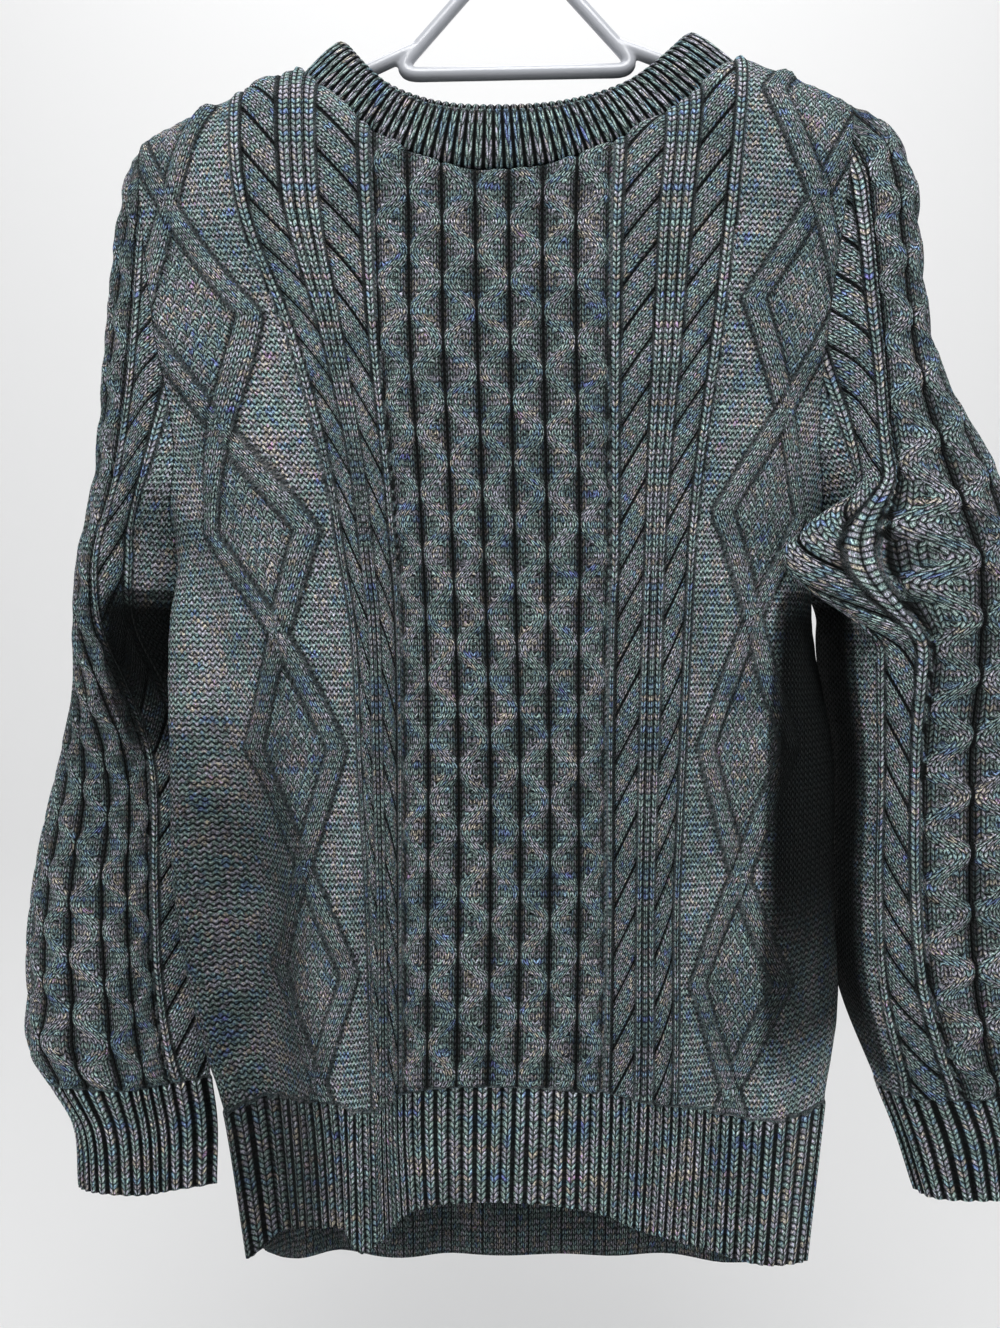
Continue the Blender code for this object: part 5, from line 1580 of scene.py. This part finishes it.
# -------- neckband
@dataclass
class Neckband:
    """The doubled rib band that stands round the neck."""

    name: str = "neckband_knit"
    node: str = "neckband"
    slot: str = "wool_neckband"
    ribs: int = 104
    steps_per_rib: int = 8
    section_steps: int = 32
    gap: float = 0.8
    section_out: tuple[float, ...] = (2.3, 3.0, 3.5, 3.6, 3.0, 1.4, -0.4, -2.0, -2.9, -3.0, -2.8, -2.6, -0.2)
    section_up: tuple[float, ...] = (0.0, 0.25, 0.5, 0.72, 0.9, 1.0, 1.02, 0.96, 0.8, 0.6, 0.3, 0.03, 0.0)
    rib_share: float = 0.85
    rib_out: float = 0.9
    rib_up: float = 0.8
    flat_width: float = 0.64
    flat_length: float = 0.04

    def ring(self, neck: Neck, turns: Array) -> Array:
        """Points of a neck ring: turns 0 to 0.5 run along the front and 0.5 to 1 the back.

        Args:
            neck: the ring.
            turns: places round it, 0 to 1.

        Returns:
            One point a place.
        """
        front = turns < 0.5
        psi = np.where(front, (turns * 2 - 0.5) * math.pi, (1.5 - turns * 2) * math.pi)
        on_front = BODY.neck_curve(neck, -1, psi)
        on_back = BODY.neck_curve(neck, 1, psi)
        return np.where(front[:, None], on_front, on_back)

    def build(self) -> bpy.types.Object:
        """Builds the band: a closed rib section carried round the neckline.

        The ring is walked in equal lengths, the section is a smooth closed curve from the
        outer foot over the fold to the inner foot, and each rib pushes it outwards.

        Returns:
            The mesh object.
        """
        count = self.ribs * self.steps_per_rib
        fine = np.linspace(0, 1, 2001)
        line = self.ring(BODY.band_foot, fine) + self.ring(BODY.band_top, fine)
        length = np.concatenate([[0], np.cumsum(np.linalg.norm(np.diff(line, axis=0), axis=1))])
        turns = np.interp(np.linspace(0, length[-1], count + 1), length, fine)[:-1]
        foot = self.ring(BODY.band_foot, turns)
        top = self.ring(BODY.band_top, turns)
        along = unit(np.roll(foot, -3, axis=0) - np.roll(foot, 3, axis=0))
        up = top - foot
        height = np.linalg.norm(up, axis=1, keepdims=True)
        up = up / height
        out = unit(np.cross(along, up))
        flip = np.sign(((foot - foot.mean(axis=0)) * out * np.array([1, 1, 0])).sum(axis=1, keepdims=True))
        out = out * np.where(flip == 0, 1, flip)
        share = np.linspace(0, len(self.section_out) - 1, self.section_steps + 1)
        knots = np.arange(len(self.section_out) + 1)
        closed_out = np.array(self.section_out + self.section_out[:1])
        closed_up = np.array(self.section_up + self.section_up[:1])
        share = share / (len(self.section_out) - 1) * len(self.section_out)
        push = hermite(knots, closed_out, share)
        lift = hermite(knots, closed_up, share)
        place = np.arange(count + 1) / self.steps_per_rib
        rib = np.maximum(np.cos(math.pi * (place - np.round(place))), 0) ** 0.8
        rib = rib * CHART.rib_rise * self.rib_share
        wrap = np.arange(count + 1) % count
        ribbed = smooth((np.abs(push) - 1.0) / 1.5)[None, :] * np.where(lift < 0.02, 0.5, 1.0)[None, :]
        away = push[None, :] + np.sign(push)[None, :] * rib[:, None] * ribbed * self.rib_out
        over = smooth((lift - 0.75) / 0.25)[None, :] * rib[:, None] * self.rib_up
        rise = self.gap + (height[wrap] - self.gap) * lift[None, :] + over
        points = foot[wrap, None] + up[wrap, None] * rise[..., None] + out[wrap, None] * away[..., None]
        shape = points.shape[:2]
        around = np.repeat(place[:, None], shape[1], axis=1)
        off = around - np.round(around)
        course = np.repeat(share[None, :], shape[0], axis=0) * 0.85
        nil = np.zeros(shape)
        # Painted shade: the wool is darkened between the band's ribs.
        cloth = Knitted(
            rise=nil, wale=np.round(around) + np.clip(off / 0.62, -0.5, 0.5) + 0.5, course=course,
            knit=nil + 1, ladder=nil, ladder_on=nil, moss=nil, shade=smooth((np.abs(off) - 0.26) / 0.2),
        )
        numbers = np.arange(shape[0] * shape[1]).reshape(shape)
        numbers[-1] = numbers[0]
        numbers[:, -1] = numbers[:, 0]
        skin = Skin()
        skin.add_grid(skin.add_points(points, cloth, numbers.reshape(-1)))
        made = skin.to_object(self.name)
        log.info("%s: %d faces", self.name, len(made.data.polygons))
        return made


# -------- hanger piece
@dataclass
class Hanger:
    """Hook, centre loop and two arms, moulded in one."""

    name: str = "hanger_moulded"
    node: str = "hanger"
    slot: str = "hanger_plastic"
    sides: int = 20
    voxel: float = 0.9
    smoothing: int = 5
    loop_top_round: float = 6.0
    loop_foot_round: float = 15.0
    hook_tip_deg: float = 205.0
    hook_foot_deg: float = -55.0
    hook_bend: tuple[tuple[float, float, float], ...] = ((5.6, 0, -43.6), (0.9, 0, -48.5), (0, 0, -62.0))

    def tube(self, skin: Skin, path: Array, closed: bool, radius: float) -> None:
        """Adds a round tube along a path, square to it, with rounded ends when open.

        Each ring is the path's point plus the radius times the cosine and sine of the angle
        along the depth axis and the path's own normal.

        Args:
            skin: what the tube is added to.
            path: points of its axis.
            closed: whether the path is a loop.
            radius: half its width.
        """
        if closed:
            along = unit(np.roll(path, -1, axis=0) - np.roll(path, 1, axis=0))
            reach = np.full(len(path), radius)
        else:
            along = unit(np.gradient(path, axis=0))
            caps = np.array([0.0, 0.35, 0.7, 0.9, 1.0])
            spots = 1 - np.sqrt(1 - caps**2)
            first = path[0] - along[0] * radius * (1 - spots[:-1, None])
            last = path[-1] + along[-1] * radius * (1 - spots[-2::-1, None])
            path = np.concatenate([first, path, last])
            reach = np.concatenate([caps[:-1], np.ones(len(along)), caps[-2::-1]]) * radius
            reach = np.maximum(reach, 0.02)
            along = np.concatenate([np.repeat(along[:1], 4, 0), along, np.repeat(along[-1:], 4, 0)])
        depth = np.array([0.0, 1.0, 0.0])
        other = unit(np.cross(along, depth))
        angle = np.linspace(0, 2 * math.pi, self.sides + 1)
        ring = np.cos(angle)[None, :, None] * depth + np.sin(angle)[None, :, None] * other[:, None]
        points = path[:, None] + ring * reach[:, None, None]
        if closed:
            points = np.concatenate([points, points[:1]])
        shape = points.shape[:2]
        nil = np.zeros(shape)
        numbers = np.arange(shape[0] * shape[1]).reshape(shape)
        numbers[:, -1] = numbers[:, 0]
        if closed:
            numbers[-1] = numbers[0]
        plain = Knitted(nil, nil, nil, nil, nil, nil, nil, nil)
        grid = skin.add_points(points, plain, numbers.reshape(-1))
        skin.add_grid(grid)
        if not closed:
            skin.faces.append(grid[:1, :-1][:, ::-1])
            skin.faces.append(grid[-1:, :-1])

    def loop_path(self) -> Array:
        """The centre loop: straight bars joined by quadratic curves at four corners.

        Returns:
            Points of the axis.
        """
        line = HANGER
        drop = line.tilt * line.loop_foot_half
        corners = (
            (-line.loop_top_half, line.stem_foot_z, self.loop_top_round),
            (line.loop_top_half, line.stem_foot_z, self.loop_top_round),
            (line.loop_foot_half, line.loop_foot_z + drop, self.loop_foot_round),
            (-line.loop_foot_half, line.loop_foot_z - drop, self.loop_foot_round),
        )
        spots = [np.array((x, 0.0, z)) for x, z, _ in corners]
        t = np.linspace(0, 1, 9)[:, None]
        runs = []
        for index, spot in enumerate(spots):
            before = spots[index - 1]
            after = spots[(index + 1) % len(spots)]
            start = spot + unit(before - spot) * corners[index][2]
            end = spot + unit(after - spot) * corners[index][2]
            runs.append((1 - t) ** 2 * start + 2 * t * (1 - t) * spot + t**2 * end)
        return np.concatenate(runs)

    def hook_path(self) -> Array:
        """The hook round the rail and its stem: an arc, a bend and a straight bar.

        Returns:
            Points of the axis, from the tip to the loop.
        """
        middle = HANGER.hook_radius + HANGER.tube
        angles = np.radians(np.linspace(self.hook_tip_deg, self.hook_foot_deg, 40))
        arc = np.stack(
            [middle * np.cos(angles), 0 * angles, middle * np.sin(angles) - HANGER.hook_radius], axis=-1
        )
        bend = hermite([0, 1, 2, 3], np.array([arc[-1], *self.hook_bend]), np.linspace(0, 3, 16)[1:])
        return np.concatenate([arc, bend, np.array([[0, 0, HANGER.stem_foot_z]])])

    def build(self) -> bpy.types.Object:
        """Builds the tubes, and melts them into one moulding with small fillets.

        Returns:
            The mesh object.
        """
        skin = Skin()
        self.tube(skin, self.loop_path(), True, HANGER.tube)
        self.tube(skin, self.hook_path(), False, HANGER.tube)
        for side in (-1, 1):
            xs = side * np.linspace(HANGER.loop_half - 0.5, HANGER.arm_end, 12)
            self.tube(skin, np.stack([xs, 0 * xs, HANGER.arm_z(xs)], axis=-1), False, HANGER.tube)
        made = skin.to_object(self.name)
        melt = made.modifiers.new("melt", "REMESH")
        melt.mode = "VOXEL"
        melt.voxel_size = self.voxel * MM
        melt.use_smooth_shade = True
        soften = made.modifiers.new("soften", "SMOOTH")
        soften.factor = 0.5
        soften.iterations = self.smoothing
        graph = bpy.context.evaluated_depsgraph_get()
        mesh = bpy.data.meshes.new_from_object(made.evaluated_get(graph))
        mesh.name = self.name
        made.modifiers.clear()
        made.data = mesh
        log.info("%s: %d faces", self.name, len(mesh.polygons))
        return made


# -------- shader wiring
class Wiring:
    """Short calls that add and link the nodes of one tree."""

    def __init__(self, tree: bpy.types.NodeTree) -> None:
        """Keeps the tree that is wired."""
        self.tree = tree

    def node(self, kind: str, **settings: object) -> bpy.types.Node:
        """Adds a node and sets its properties.

        Args:
            kind: the node's type.
            settings: its properties.

        Returns:
            The node.
        """
        made = self.tree.nodes.new(kind)
        for name, value in settings.items():
            setattr(made, name, value)
        return made

    def feed(self, socket: Socket, value: object) -> None:
        """Links a socket or sets its value.

        Args:
            socket: the input.
            value: an output to link, or a constant.
        """
        if isinstance(value, Socket):
            self.tree.links.new(value, socket)
        else:
            socket.default_value = value

    def math(self, operation: str, first: object, second: object = 0.0, third: object = 0.0,
             clamp: bool = False) -> Socket:
        """A Math node's result.

        Args:
            operation: what is worked out.
            first: its first number.
            second: its second number.
            third: its third number.
            clamp: whether to hold the result between 0 and 1.

        Returns:
            The result.
        """
        made = self.node("ShaderNodeMath", operation=operation, use_clamp=clamp)
        for socket, value in zip(made.inputs, (first, second, third)):
            self.feed(socket, value)
        return made.outputs[0]

    def ease(self, value: object, low: float, high: float, start: float = 0.0,
             end: float = 1.0) -> Socket:
        """A Map Range node's smooth step.

        Args:
            value: what is mapped.
            low: the value that gives start.
            high: the value that gives end.
            start: the result at low.
            end: the result at high.

        Returns:
            The result.
        """
        made = self.node("ShaderNodeMapRange", interpolation_type="SMOOTHSTEP")
        for socket, given in zip(made.inputs, (value, low, high, start, end)):
            self.feed(socket, given)
        return made.outputs[0]

    def times(self, *values: object) -> Socket:
        """The product of two or more numbers."""
        return functools.reduce(lambda first, second: self.math("MULTIPLY", first, second), values)

    def plus(self, *values: object) -> Socket:
        """The sum of two or more numbers."""
        return functools.reduce(lambda first, second: self.math("ADD", first, second), values)

    def mix(self, share: object, first: object, second: object, blend: str = "MIX") -> Socket:
        """A colour mix.

        Args:
            share: how much of the second.
            first: a colour.
            second: a colour.
            blend: how they are mixed.

        Returns:
            The colour.
        """
        made = self.node("ShaderNodeMix", data_type="RGBA", blend_type=blend)
        self.feed(made.inputs["Factor"], share)
        self.feed(made.inputs[6], first)
        self.feed(made.inputs[7], second)
        return made.outputs[2]

    def blend(self, share: object, first: object, second: object) -> Socket:
        """A mix of two numbers.

        Args:
            share: how much of the second.
            first: a number.
            second: a number.

        Returns:
            The number.
        """
        made = self.node("ShaderNodeMix", data_type="FLOAT")
        self.feed(made.inputs["Factor"], share)
        self.feed(made.inputs[2], first)
        self.feed(made.inputs[3], second)
        return made.outputs[0]

    def vector(self, x: object, y: object, z: object = 0.0) -> Socket:
        """A vector of three numbers.

        Args:
            x: its first number.
            y: its second number.
            z: its third number.

        Returns:
            The vector.
        """
        made = self.node("ShaderNodeCombineXYZ")
        for socket, value in zip(made.inputs, (x, y, z)):
            self.feed(socket, value)
        return made.outputs[0]

    def split(self, vector: Socket) -> tuple[Socket, ...]:
        """The three numbers of a vector.

        Args:
            vector: what is parted.

        Returns:
            The numbers.
        """
        made = self.node("ShaderNodeSeparateXYZ")
        self.feed(made.inputs[0], vector)
        return tuple(made.outputs)

    def noise(self, vector: object, scale: float, detail: float = 2.0,
              rough: float = 0.5) -> Socket:
        """A Noise texture's value.

        Args:
            vector: where it is read.
            scale: how fine it is.
            detail: how many finer layers it has.
            rough: how strong they are.

        Returns:
            The value.
        """
        made = self.node("ShaderNodeTexNoise", noise_dimensions="3D")
        self.feed(made.inputs["Vector"], vector)
        self.feed(made.inputs["Scale"], scale)
        self.feed(made.inputs["Detail"], detail)
        self.feed(made.inputs["Roughness"], rough)
        return made.outputs[0]

    def ramp(
        self, value: object, stops: Sequence[tuple[float, tuple[float, float, float]]]
    ) -> Socket:
        """A colour ramp with stops of position and colour.

        Args:
            value: what is mapped.
            stops: positions and colours.

        Returns:
            The colour.
        """
        made = self.node("ShaderNodeValToRGB")
        elements = made.color_ramp.elements
        while len(elements) < len(stops):
            elements.new(0.5)
        for element, (place, color) in zip(elements, stops):
            element.position = place
            element.color = (*color, 1.0)
        self.feed(made.inputs[0], value)
        return made.outputs[0]


def linear(red: int, green: int, blue: int) -> tuple[float, float, float]:
    """A screen colour from 0 to 255 as the linear values a shader takes."""
    return tuple(((value / 255 + 0.055) / 1.055) ** 2.4 for value in (red, green, blue))


# -------- finishes
@dataclass(frozen=True)
class HeatherYarn:
    """Spun wool of mixed dyed fibres, as it lies in knit and purl stitches."""

    leg_slant: float = 1.5
    purl_wave: float = 0.22
    fibre_run: float = 0.55
    # Painted shade in the yarn's gaps, the chart's hollows and under the arms, and a painted highlight on the
    # yarn's crests:
    gap_shade: float = 0.05
    crest_light: float = 2.7
    shade_dark: float = 0.17
    underarm_shade_level: float = 0.05
    bump_depth: float = 0.0012
    patch_scale: float = 34.0
    fleck_scale: float = 900.0
    fibre_scale: float = 2600.0
    roughness: float = 0.95
    specular: float = 0.05
    sheen: float = 0.06
    palette: tuple[tuple[float, tuple[int, int, int]], ...] = (
        (0.30, (100, 90, 140)), (0.37, (86, 97, 139)), (0.43, (88, 108, 119)), (0.49, (96, 112, 104)),
        (0.55, (110, 107, 121)), (0.60, (118, 115, 96)), (0.66, (116, 97, 129)), (0.74, (137, 107, 98)),
    )

    def stitches(self) -> bpy.types.NodeTree:
        """The group that turns chart attributes into yarn height, gaps and colour places.

        Returns:
            The group's tree, made once.
        """
        found = bpy.data.node_groups.get("wool stitches")
        if found:
            return found
        tree = bpy.data.node_groups.new("wool stitches", "ShaderNodeTree")
        for name in ("Stitch", "Pattern"):
            tree.interface.new_socket(name, in_out="INPUT", socket_type="NodeSocketVector")
        tree.interface.new_socket("Seed", in_out="INPUT", socket_type="NodeSocketFloat")
        for name in ("Height", "Ladder", "Streak", "Tone"):
            tree.interface.new_socket(name, in_out="OUTPUT", socket_type="NodeSocketFloat")
        wire = Wiring(tree)
        given = wire.node("NodeGroupInput")
        wale, course, knit = wire.split(given.outputs["Stitch"])
        ladder, ladder_on, moss = wire.split(given.outputs["Pattern"])
        seed = given.outputs["Seed"]
        wobble = wire.noise(wire.vector(wale, course, seed), 0.6, 1.0)
        course = wire.plus(course, wire.times(wire.math("SUBTRACT", wobble, 0.5), 0.5))
        x = wire.math("SUBTRACT", wire.math("FRACT", wale), 0.5)
        beside = wire.math("ABSOLUTE", x)
        run = wire.math("SUBTRACT", course, wire.times(beside, self.leg_slant))
        leg = wire.math("POWER", wire.math("SINE", wire.times(beside, 2 * math.pi)), 0.9)
        loop = wire.math("ABSOLUTE", wire.math("SINE", wire.times(run, math.pi)))
        knit_height = wire.times(leg, wire.math("POWER", loop, 0.8))
        wave = wire.math("COSINE", wire.times(wale, 2 * math.pi))
        bump_run = wire.plus(course, wire.times(wave, self.purl_wave))
        purl = wire.math("ABSOLUTE", wire.math("SINE", wire.times(bump_run, math.pi)))
        bead = wire.math("MULTIPLY_ADD", wire.math("ABSOLUTE", wave), 0.35, 0.65)
        purl_height = wire.times(wire.math("POWER", purl, 1.1), bead)
        block = wire.plus(wire.math("FLOOR", wale), wire.math("FLOOR", wire.times(course, 0.5)))
        checker = wire.times(wire.math("FRACT", wire.times(block, 0.5)), 2.0)
        face = wire.blend(moss, knit, checker)
        face = wire.math("MULTIPLY", face, 1.0, clamp=True)
        height = wire.blend(face, purl_height, knit_height)
        # The ladder lines' mask, used for painted shade in the wool's colour and for the bump.
        near = wire.math("ABSOLUTE", wire.math("SUBTRACT", ladder, wire.math("ROUND", ladder)))
        line = wire.times(wire.ease(near, 0.02, 0.07, 1.0, 0.0), ladder_on)
        across = wire.blend(face, bump_run, wire.times(beside, 4.0))
        lengthwise = wire.blend(face, wale, run)
        streak = wire.noise(
            wire.vector(wire.times(across, 2.6), wire.times(lengthwise, self.fibre_run), seed),
            2.4, 2.0, 0.7,
        )
        tone = wire.noise(
            wire.vector(wire.times(wale, 0.4), wire.math("FLOOR", run), wire.plus(seed, 7.3)),
            0.9, 3.0, 0.75,
        )
        out = wire.node("NodeGroupOutput")
        for name, value in (("Height", height), ("Ladder", line), ("Streak", streak), ("Tone", tone)):
            wire.feed(out.inputs[name], value)
        return tree

    def dress(self, piece: bpy.types.Object, seed: float) -> bpy.types.Material:
        """Gives a piece its wool.

        Args:
            piece: a knitted piece with stitch, pattern and shade attributes.
            seed: shifts the yarn's colours from one piece to the next.

        Returns:
            The material.
        """
        material = bpy.data.materials.new(f"heather wool {piece.name}")
        material.use_nodes = True
        wire = Wiring(material.node_tree)
        shader = material.node_tree.nodes["Principled BSDF"]
        group = wire.node("ShaderNodeGroup", node_tree=self.stitches())
        for label, name in (("Stitch", "stitch"), ("Pattern", "pattern")):
            read = wire.node("ShaderNodeAttribute", attribute_name=name)
            wire.feed(group.inputs[label], read.outputs["Vector"])
        group.inputs["Seed"].default_value = seed
        shade = wire.node("ShaderNodeAttribute", attribute_name="shade").outputs["Fac"]
        place = wire.node("ShaderNodeTexCoord").outputs["Object"]
        patch = wire.noise(place, self.patch_scale, 2.0, 0.6)
        fleck = wire.noise(place, self.fleck_scale, 2.0, 0.7)
        fibres = wire.noise(place, self.fibre_scale, 1.0, 0.6)
        tone = wire.plus(
            wire.times(group.outputs["Tone"], 0.62), wire.times(patch, 0.16), wire.times(fleck, 0.22)
        )
        color = wire.ramp(tone, [(at, linear(*rgb)) for at, rgb in self.palette])
        streak = wire.ease(group.outputs["Streak"], 0.34, 0.66, 0.35, 1.75)
        glint = wire.ease(fleck, 0.36, 0.66, 0.4, 1.8)
        height = group.outputs["Height"]
        # Painted highlight on the yarn's crests and painted shade in its gaps.
        lit = wire.ease(height, 0.0, 0.95, self.gap_shade, self.crest_light)
        # Painted shade in the chart's hollows, and deeper under the arms.
        hollow = wire.ease(shade, 0.0, 0.75, 1.12, self.shade_dark)
        hollow = wire.times(hollow, wire.ease(shade, 1.0, 2.0, 1.0, self.underarm_shade_level))
        # Painted shade along the ladder lines.
        ladder = wire.ease(group.outputs["Ladder"], 0.0, 0.7, 1.0, 0.03)
        cloudy = wire.ease(patch, 0.36, 0.64, 0.82, 1.16)
        level = wire.times(streak, glint, lit, hollow, ladder, cloudy)
        made = wire.node("ShaderNodeVectorMath", operation="SCALE")
        wire.feed(made.inputs[0], color)
        wire.feed(made.inputs["Scale"], level)
        wire.feed(shader.inputs["Base Color"], made.outputs[0])
        lift = wire.plus(height, wire.times(group.outputs["Streak"], 0.35), wire.times(fibres, 0.3))
        lift = wire.math("SUBTRACT", lift, wire.times(group.outputs["Ladder"], 1.2))
        bump = wire.node("ShaderNodeBump")
        bump.inputs["Strength"].default_value = 1.0
        bump.inputs["Distance"].default_value = self.bump_depth
        wire.feed(bump.inputs["Height"], lift)
        wire.feed(shader.inputs["Normal"], bump.outputs["Normal"])
        shader.inputs["Roughness"].default_value = self.roughness
        shader.inputs["Specular IOR Level"].default_value = self.specular
        shader.inputs["Sheen Weight"].default_value = self.sheen
        shader.inputs["Sheen Roughness"].default_value = 0.55
        shader.inputs["Sheen Tint"].default_value = (0.55, 0.62, 0.62, 1.0)
        piece.data.materials.clear()
        piece.data.materials.append(material)
        return material


@dataclass(frozen=True)
class MouldedPlastic:
    """Glossy white plastic, faintly blue, with soft ripples from the mould."""

    color: tuple[int, int, int] = (184, 186, 192)
    roughness: float = 0.22
    ripple: float = 0.00012

    def dress(self, piece: bpy.types.Object) -> bpy.types.Material:
        """Gives a piece its plastic.

        Args:
            piece: the hanger.

        Returns:
            The material.
        """
        material = bpy.data.materials.new("white moulded plastic")
        material.use_nodes = True
        wire = Wiring(material.node_tree)
        shader = material.node_tree.nodes["Principled BSDF"]
        place = wire.node("ShaderNodeTexCoord").outputs["Object"]
        cloud = wire.noise(place, 18.0, 2.0)
        dull = tuple(value * 0.93 for value in linear(*self.color))
        color = wire.mix(wire.ease(cloud, 0.35, 0.7), (*linear(*self.color), 1.0), (*dull, 1.0))
        wire.feed(shader.inputs["Base Color"], color)
        rough = wire.ease(cloud, 0.3, 0.7, self.roughness, self.roughness + 0.08)
        wire.feed(shader.inputs["Roughness"], rough)
        bump = wire.node("ShaderNodeBump")
        bump.inputs["Strength"].default_value = 0.6
        bump.inputs["Distance"].default_value = self.ripple
        wire.feed(bump.inputs["Height"], wire.noise(place, 60.0, 2.0))
        wire.feed(shader.inputs["Normal"], bump.outputs["Normal"])
        shader.inputs["Coat Weight"].default_value = 0.3
        shader.inputs["Coat Roughness"].default_value = 0.12
        piece.data.materials.clear()
        piece.data.materials.append(material)
        return material


# -------- stage
class Lamp(NamedTuple):
    """A soft light: its name, place, size and power, in metres and watts."""

    name: str
    at: tuple[float, float, float]
    size: float
    watts: float


STUDIO_LAMPS = (
    Lamp("key from above", (0.05, -1.3, 1.1), 1.1, 33.0),
    Lamp("fill from the left", (-1.2, -1.9, 0.2), 1.2, 3.0),
    Lamp("wall wash", (0.0, 0.2, 1.9), 1.6, 28.0),
)


@dataclass(frozen=True)
class Studio:
    """A pale sweep behind and below, soft lights and the photograph's view."""

    camera_mm: tuple[float, float, float] = (-9.7, -620.0, -472.5)
    focal_px: float = 1088.0
    photo_size: tuple[int, int] = (1000, 1328)
    sensor_mm: float = 36.0
    wall_y: float = 1.15
    floor_z: float = -1.35
    bend: float = 0.6
    half_width: float = 3.6
    front_y: float = -3.4
    top_z: float = 2.2
    middle_z: float = -0.45
    paint: tuple[float, ...] = (0.87, 0.865, 0.86, 1.0)
    air: tuple[float, ...] = (0.93, 0.96, 1.0, 1.0)
    air_strength: float = 0.33

    def sweep(self) -> bpy.types.Object:
        """One sheet: a flat floor, a quarter round bend and an upright wall.

        Returns:
            The mesh object.
        """
        angle = np.linspace(0, math.pi / 2, 17)
        back = self.wall_y - self.bend
        y = np.concatenate([[self.front_y], back + self.bend * np.sin(angle), [self.wall_y]])
        z = np.concatenate(
            [[self.floor_z], self.floor_z + self.bend - self.bend * np.cos(angle), [self.top_z]]
        )
        x = np.linspace(-self.half_width, self.half_width, 5)
        points = [(float(a), float(b), float(c)) for b, c in zip(y, z) for a in x]
        wide = len(x)
        faces = [
            (row * wide + i, row * wide + i + 1, (row + 1) * wide + i + 1, (row + 1) * wide + i)
            for row in range(len(y) - 1)
            for i in range(wide - 1)
        ]
        mesh = bpy.data.meshes.new("pale_sweep")
        mesh.from_pydata(points, [], faces)
        mesh.polygons.foreach_set("use_smooth", np.ones(len(faces), bool))
        made = bpy.data.objects.new("pale_sweep", mesh)
        bpy.context.scene.collection.objects.link(made)
        material = bpy.data.materials.new("pale paint")
        material.use_nodes = True
        shader = material.node_tree.nodes["Principled BSDF"]
        shader.inputs["Base Color"].default_value = self.paint
        shader.inputs["Roughness"].default_value = 0.9
        mesh.materials.append(material)
        return made

    def light(self, lamp: Lamp) -> None:
        """Adds a square soft light that faces the sweater's middle.

        Args:
            lamp: its name, place, size and power.
        """
        data = bpy.data.lights.new(lamp.name, "AREA")
        data.size = lamp.size
        data.energy = lamp.watts
        made = bpy.data.objects.new(lamp.name, data)
        made.location = lamp.at
        aim = Vector((0, 0, self.middle_z)) - Vector(lamp.at)
        made.rotation_euler = aim.to_track_quat("-Z", "Y").to_euler()
        bpy.context.scene.collection.objects.link(made)

    def camera(self) -> None:
        """The camera, level and straight on, with the photograph's field of view."""
        lens = bpy.data.cameras.new("photo view")
        lens.sensor_width = self.sensor_mm
        lens.lens = self.focal_px / max(self.photo_size) * self.sensor_mm
        lens.clip_start = 0.01
        lens.clip_end = 50
        made = bpy.data.objects.new("photo view", lens)
        made.location = tuple(value * MM for value in self.camera_mm)
        made.rotation_euler = (math.pi / 2, 0, 0)
        bpy.context.scene.collection.objects.link(made)
        bpy.context.scene.camera = made

    def build(self) -> None:
        """Sets up world, sweep, lights and camera."""
        world = bpy.data.worlds.new("pale room")
        world.use_nodes = True
        ground = world.node_tree.nodes["Background"]
        ground.inputs["Color"].default_value = self.air
        ground.inputs["Strength"].default_value = self.air_strength
        scene = bpy.context.scene
        scene.world = world
        scene.view_settings.view_transform = "Standard"
        self.sweep()
        for lamp in STUDIO_LAMPS:
            self.light(lamp)
        self.camera()


def main() -> None:
    """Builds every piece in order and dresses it."""
    logging.basicConfig(level=logging.INFO, format="%(name)s: %(message)s")
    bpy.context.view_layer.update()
    wool = HeatherYarn()
    pieces = (
        BodyPanel(Side.FRONT, "front_knit", "front", "wool_front"),
        BodyPanel(Side.BACK, "back_knit", "back", "wool_back"),
        Sleeve(Hand.LEFT, "sleeve_left_knit", "sleeve_left", "wool_sleeve_left"),
        Sleeve(Hand.RIGHT, "sleeve_right_knit", "sleeve_right", "wool_sleeve_right"),
        Neckband(),
        Hanger(),
    )
    for index, piece in enumerate(pieces):
        made = piece.build()
        if isinstance(piece, Hanger):
            MouldedPlastic().dress(made)
        else:
            wool.dress(made, 11.7 * index)
        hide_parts(piece.node)
        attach(made, "root")
        log.info("%s stands for %s", made.name, piece.node)
    Studio().build()


if __name__ == "__main__":
    main()
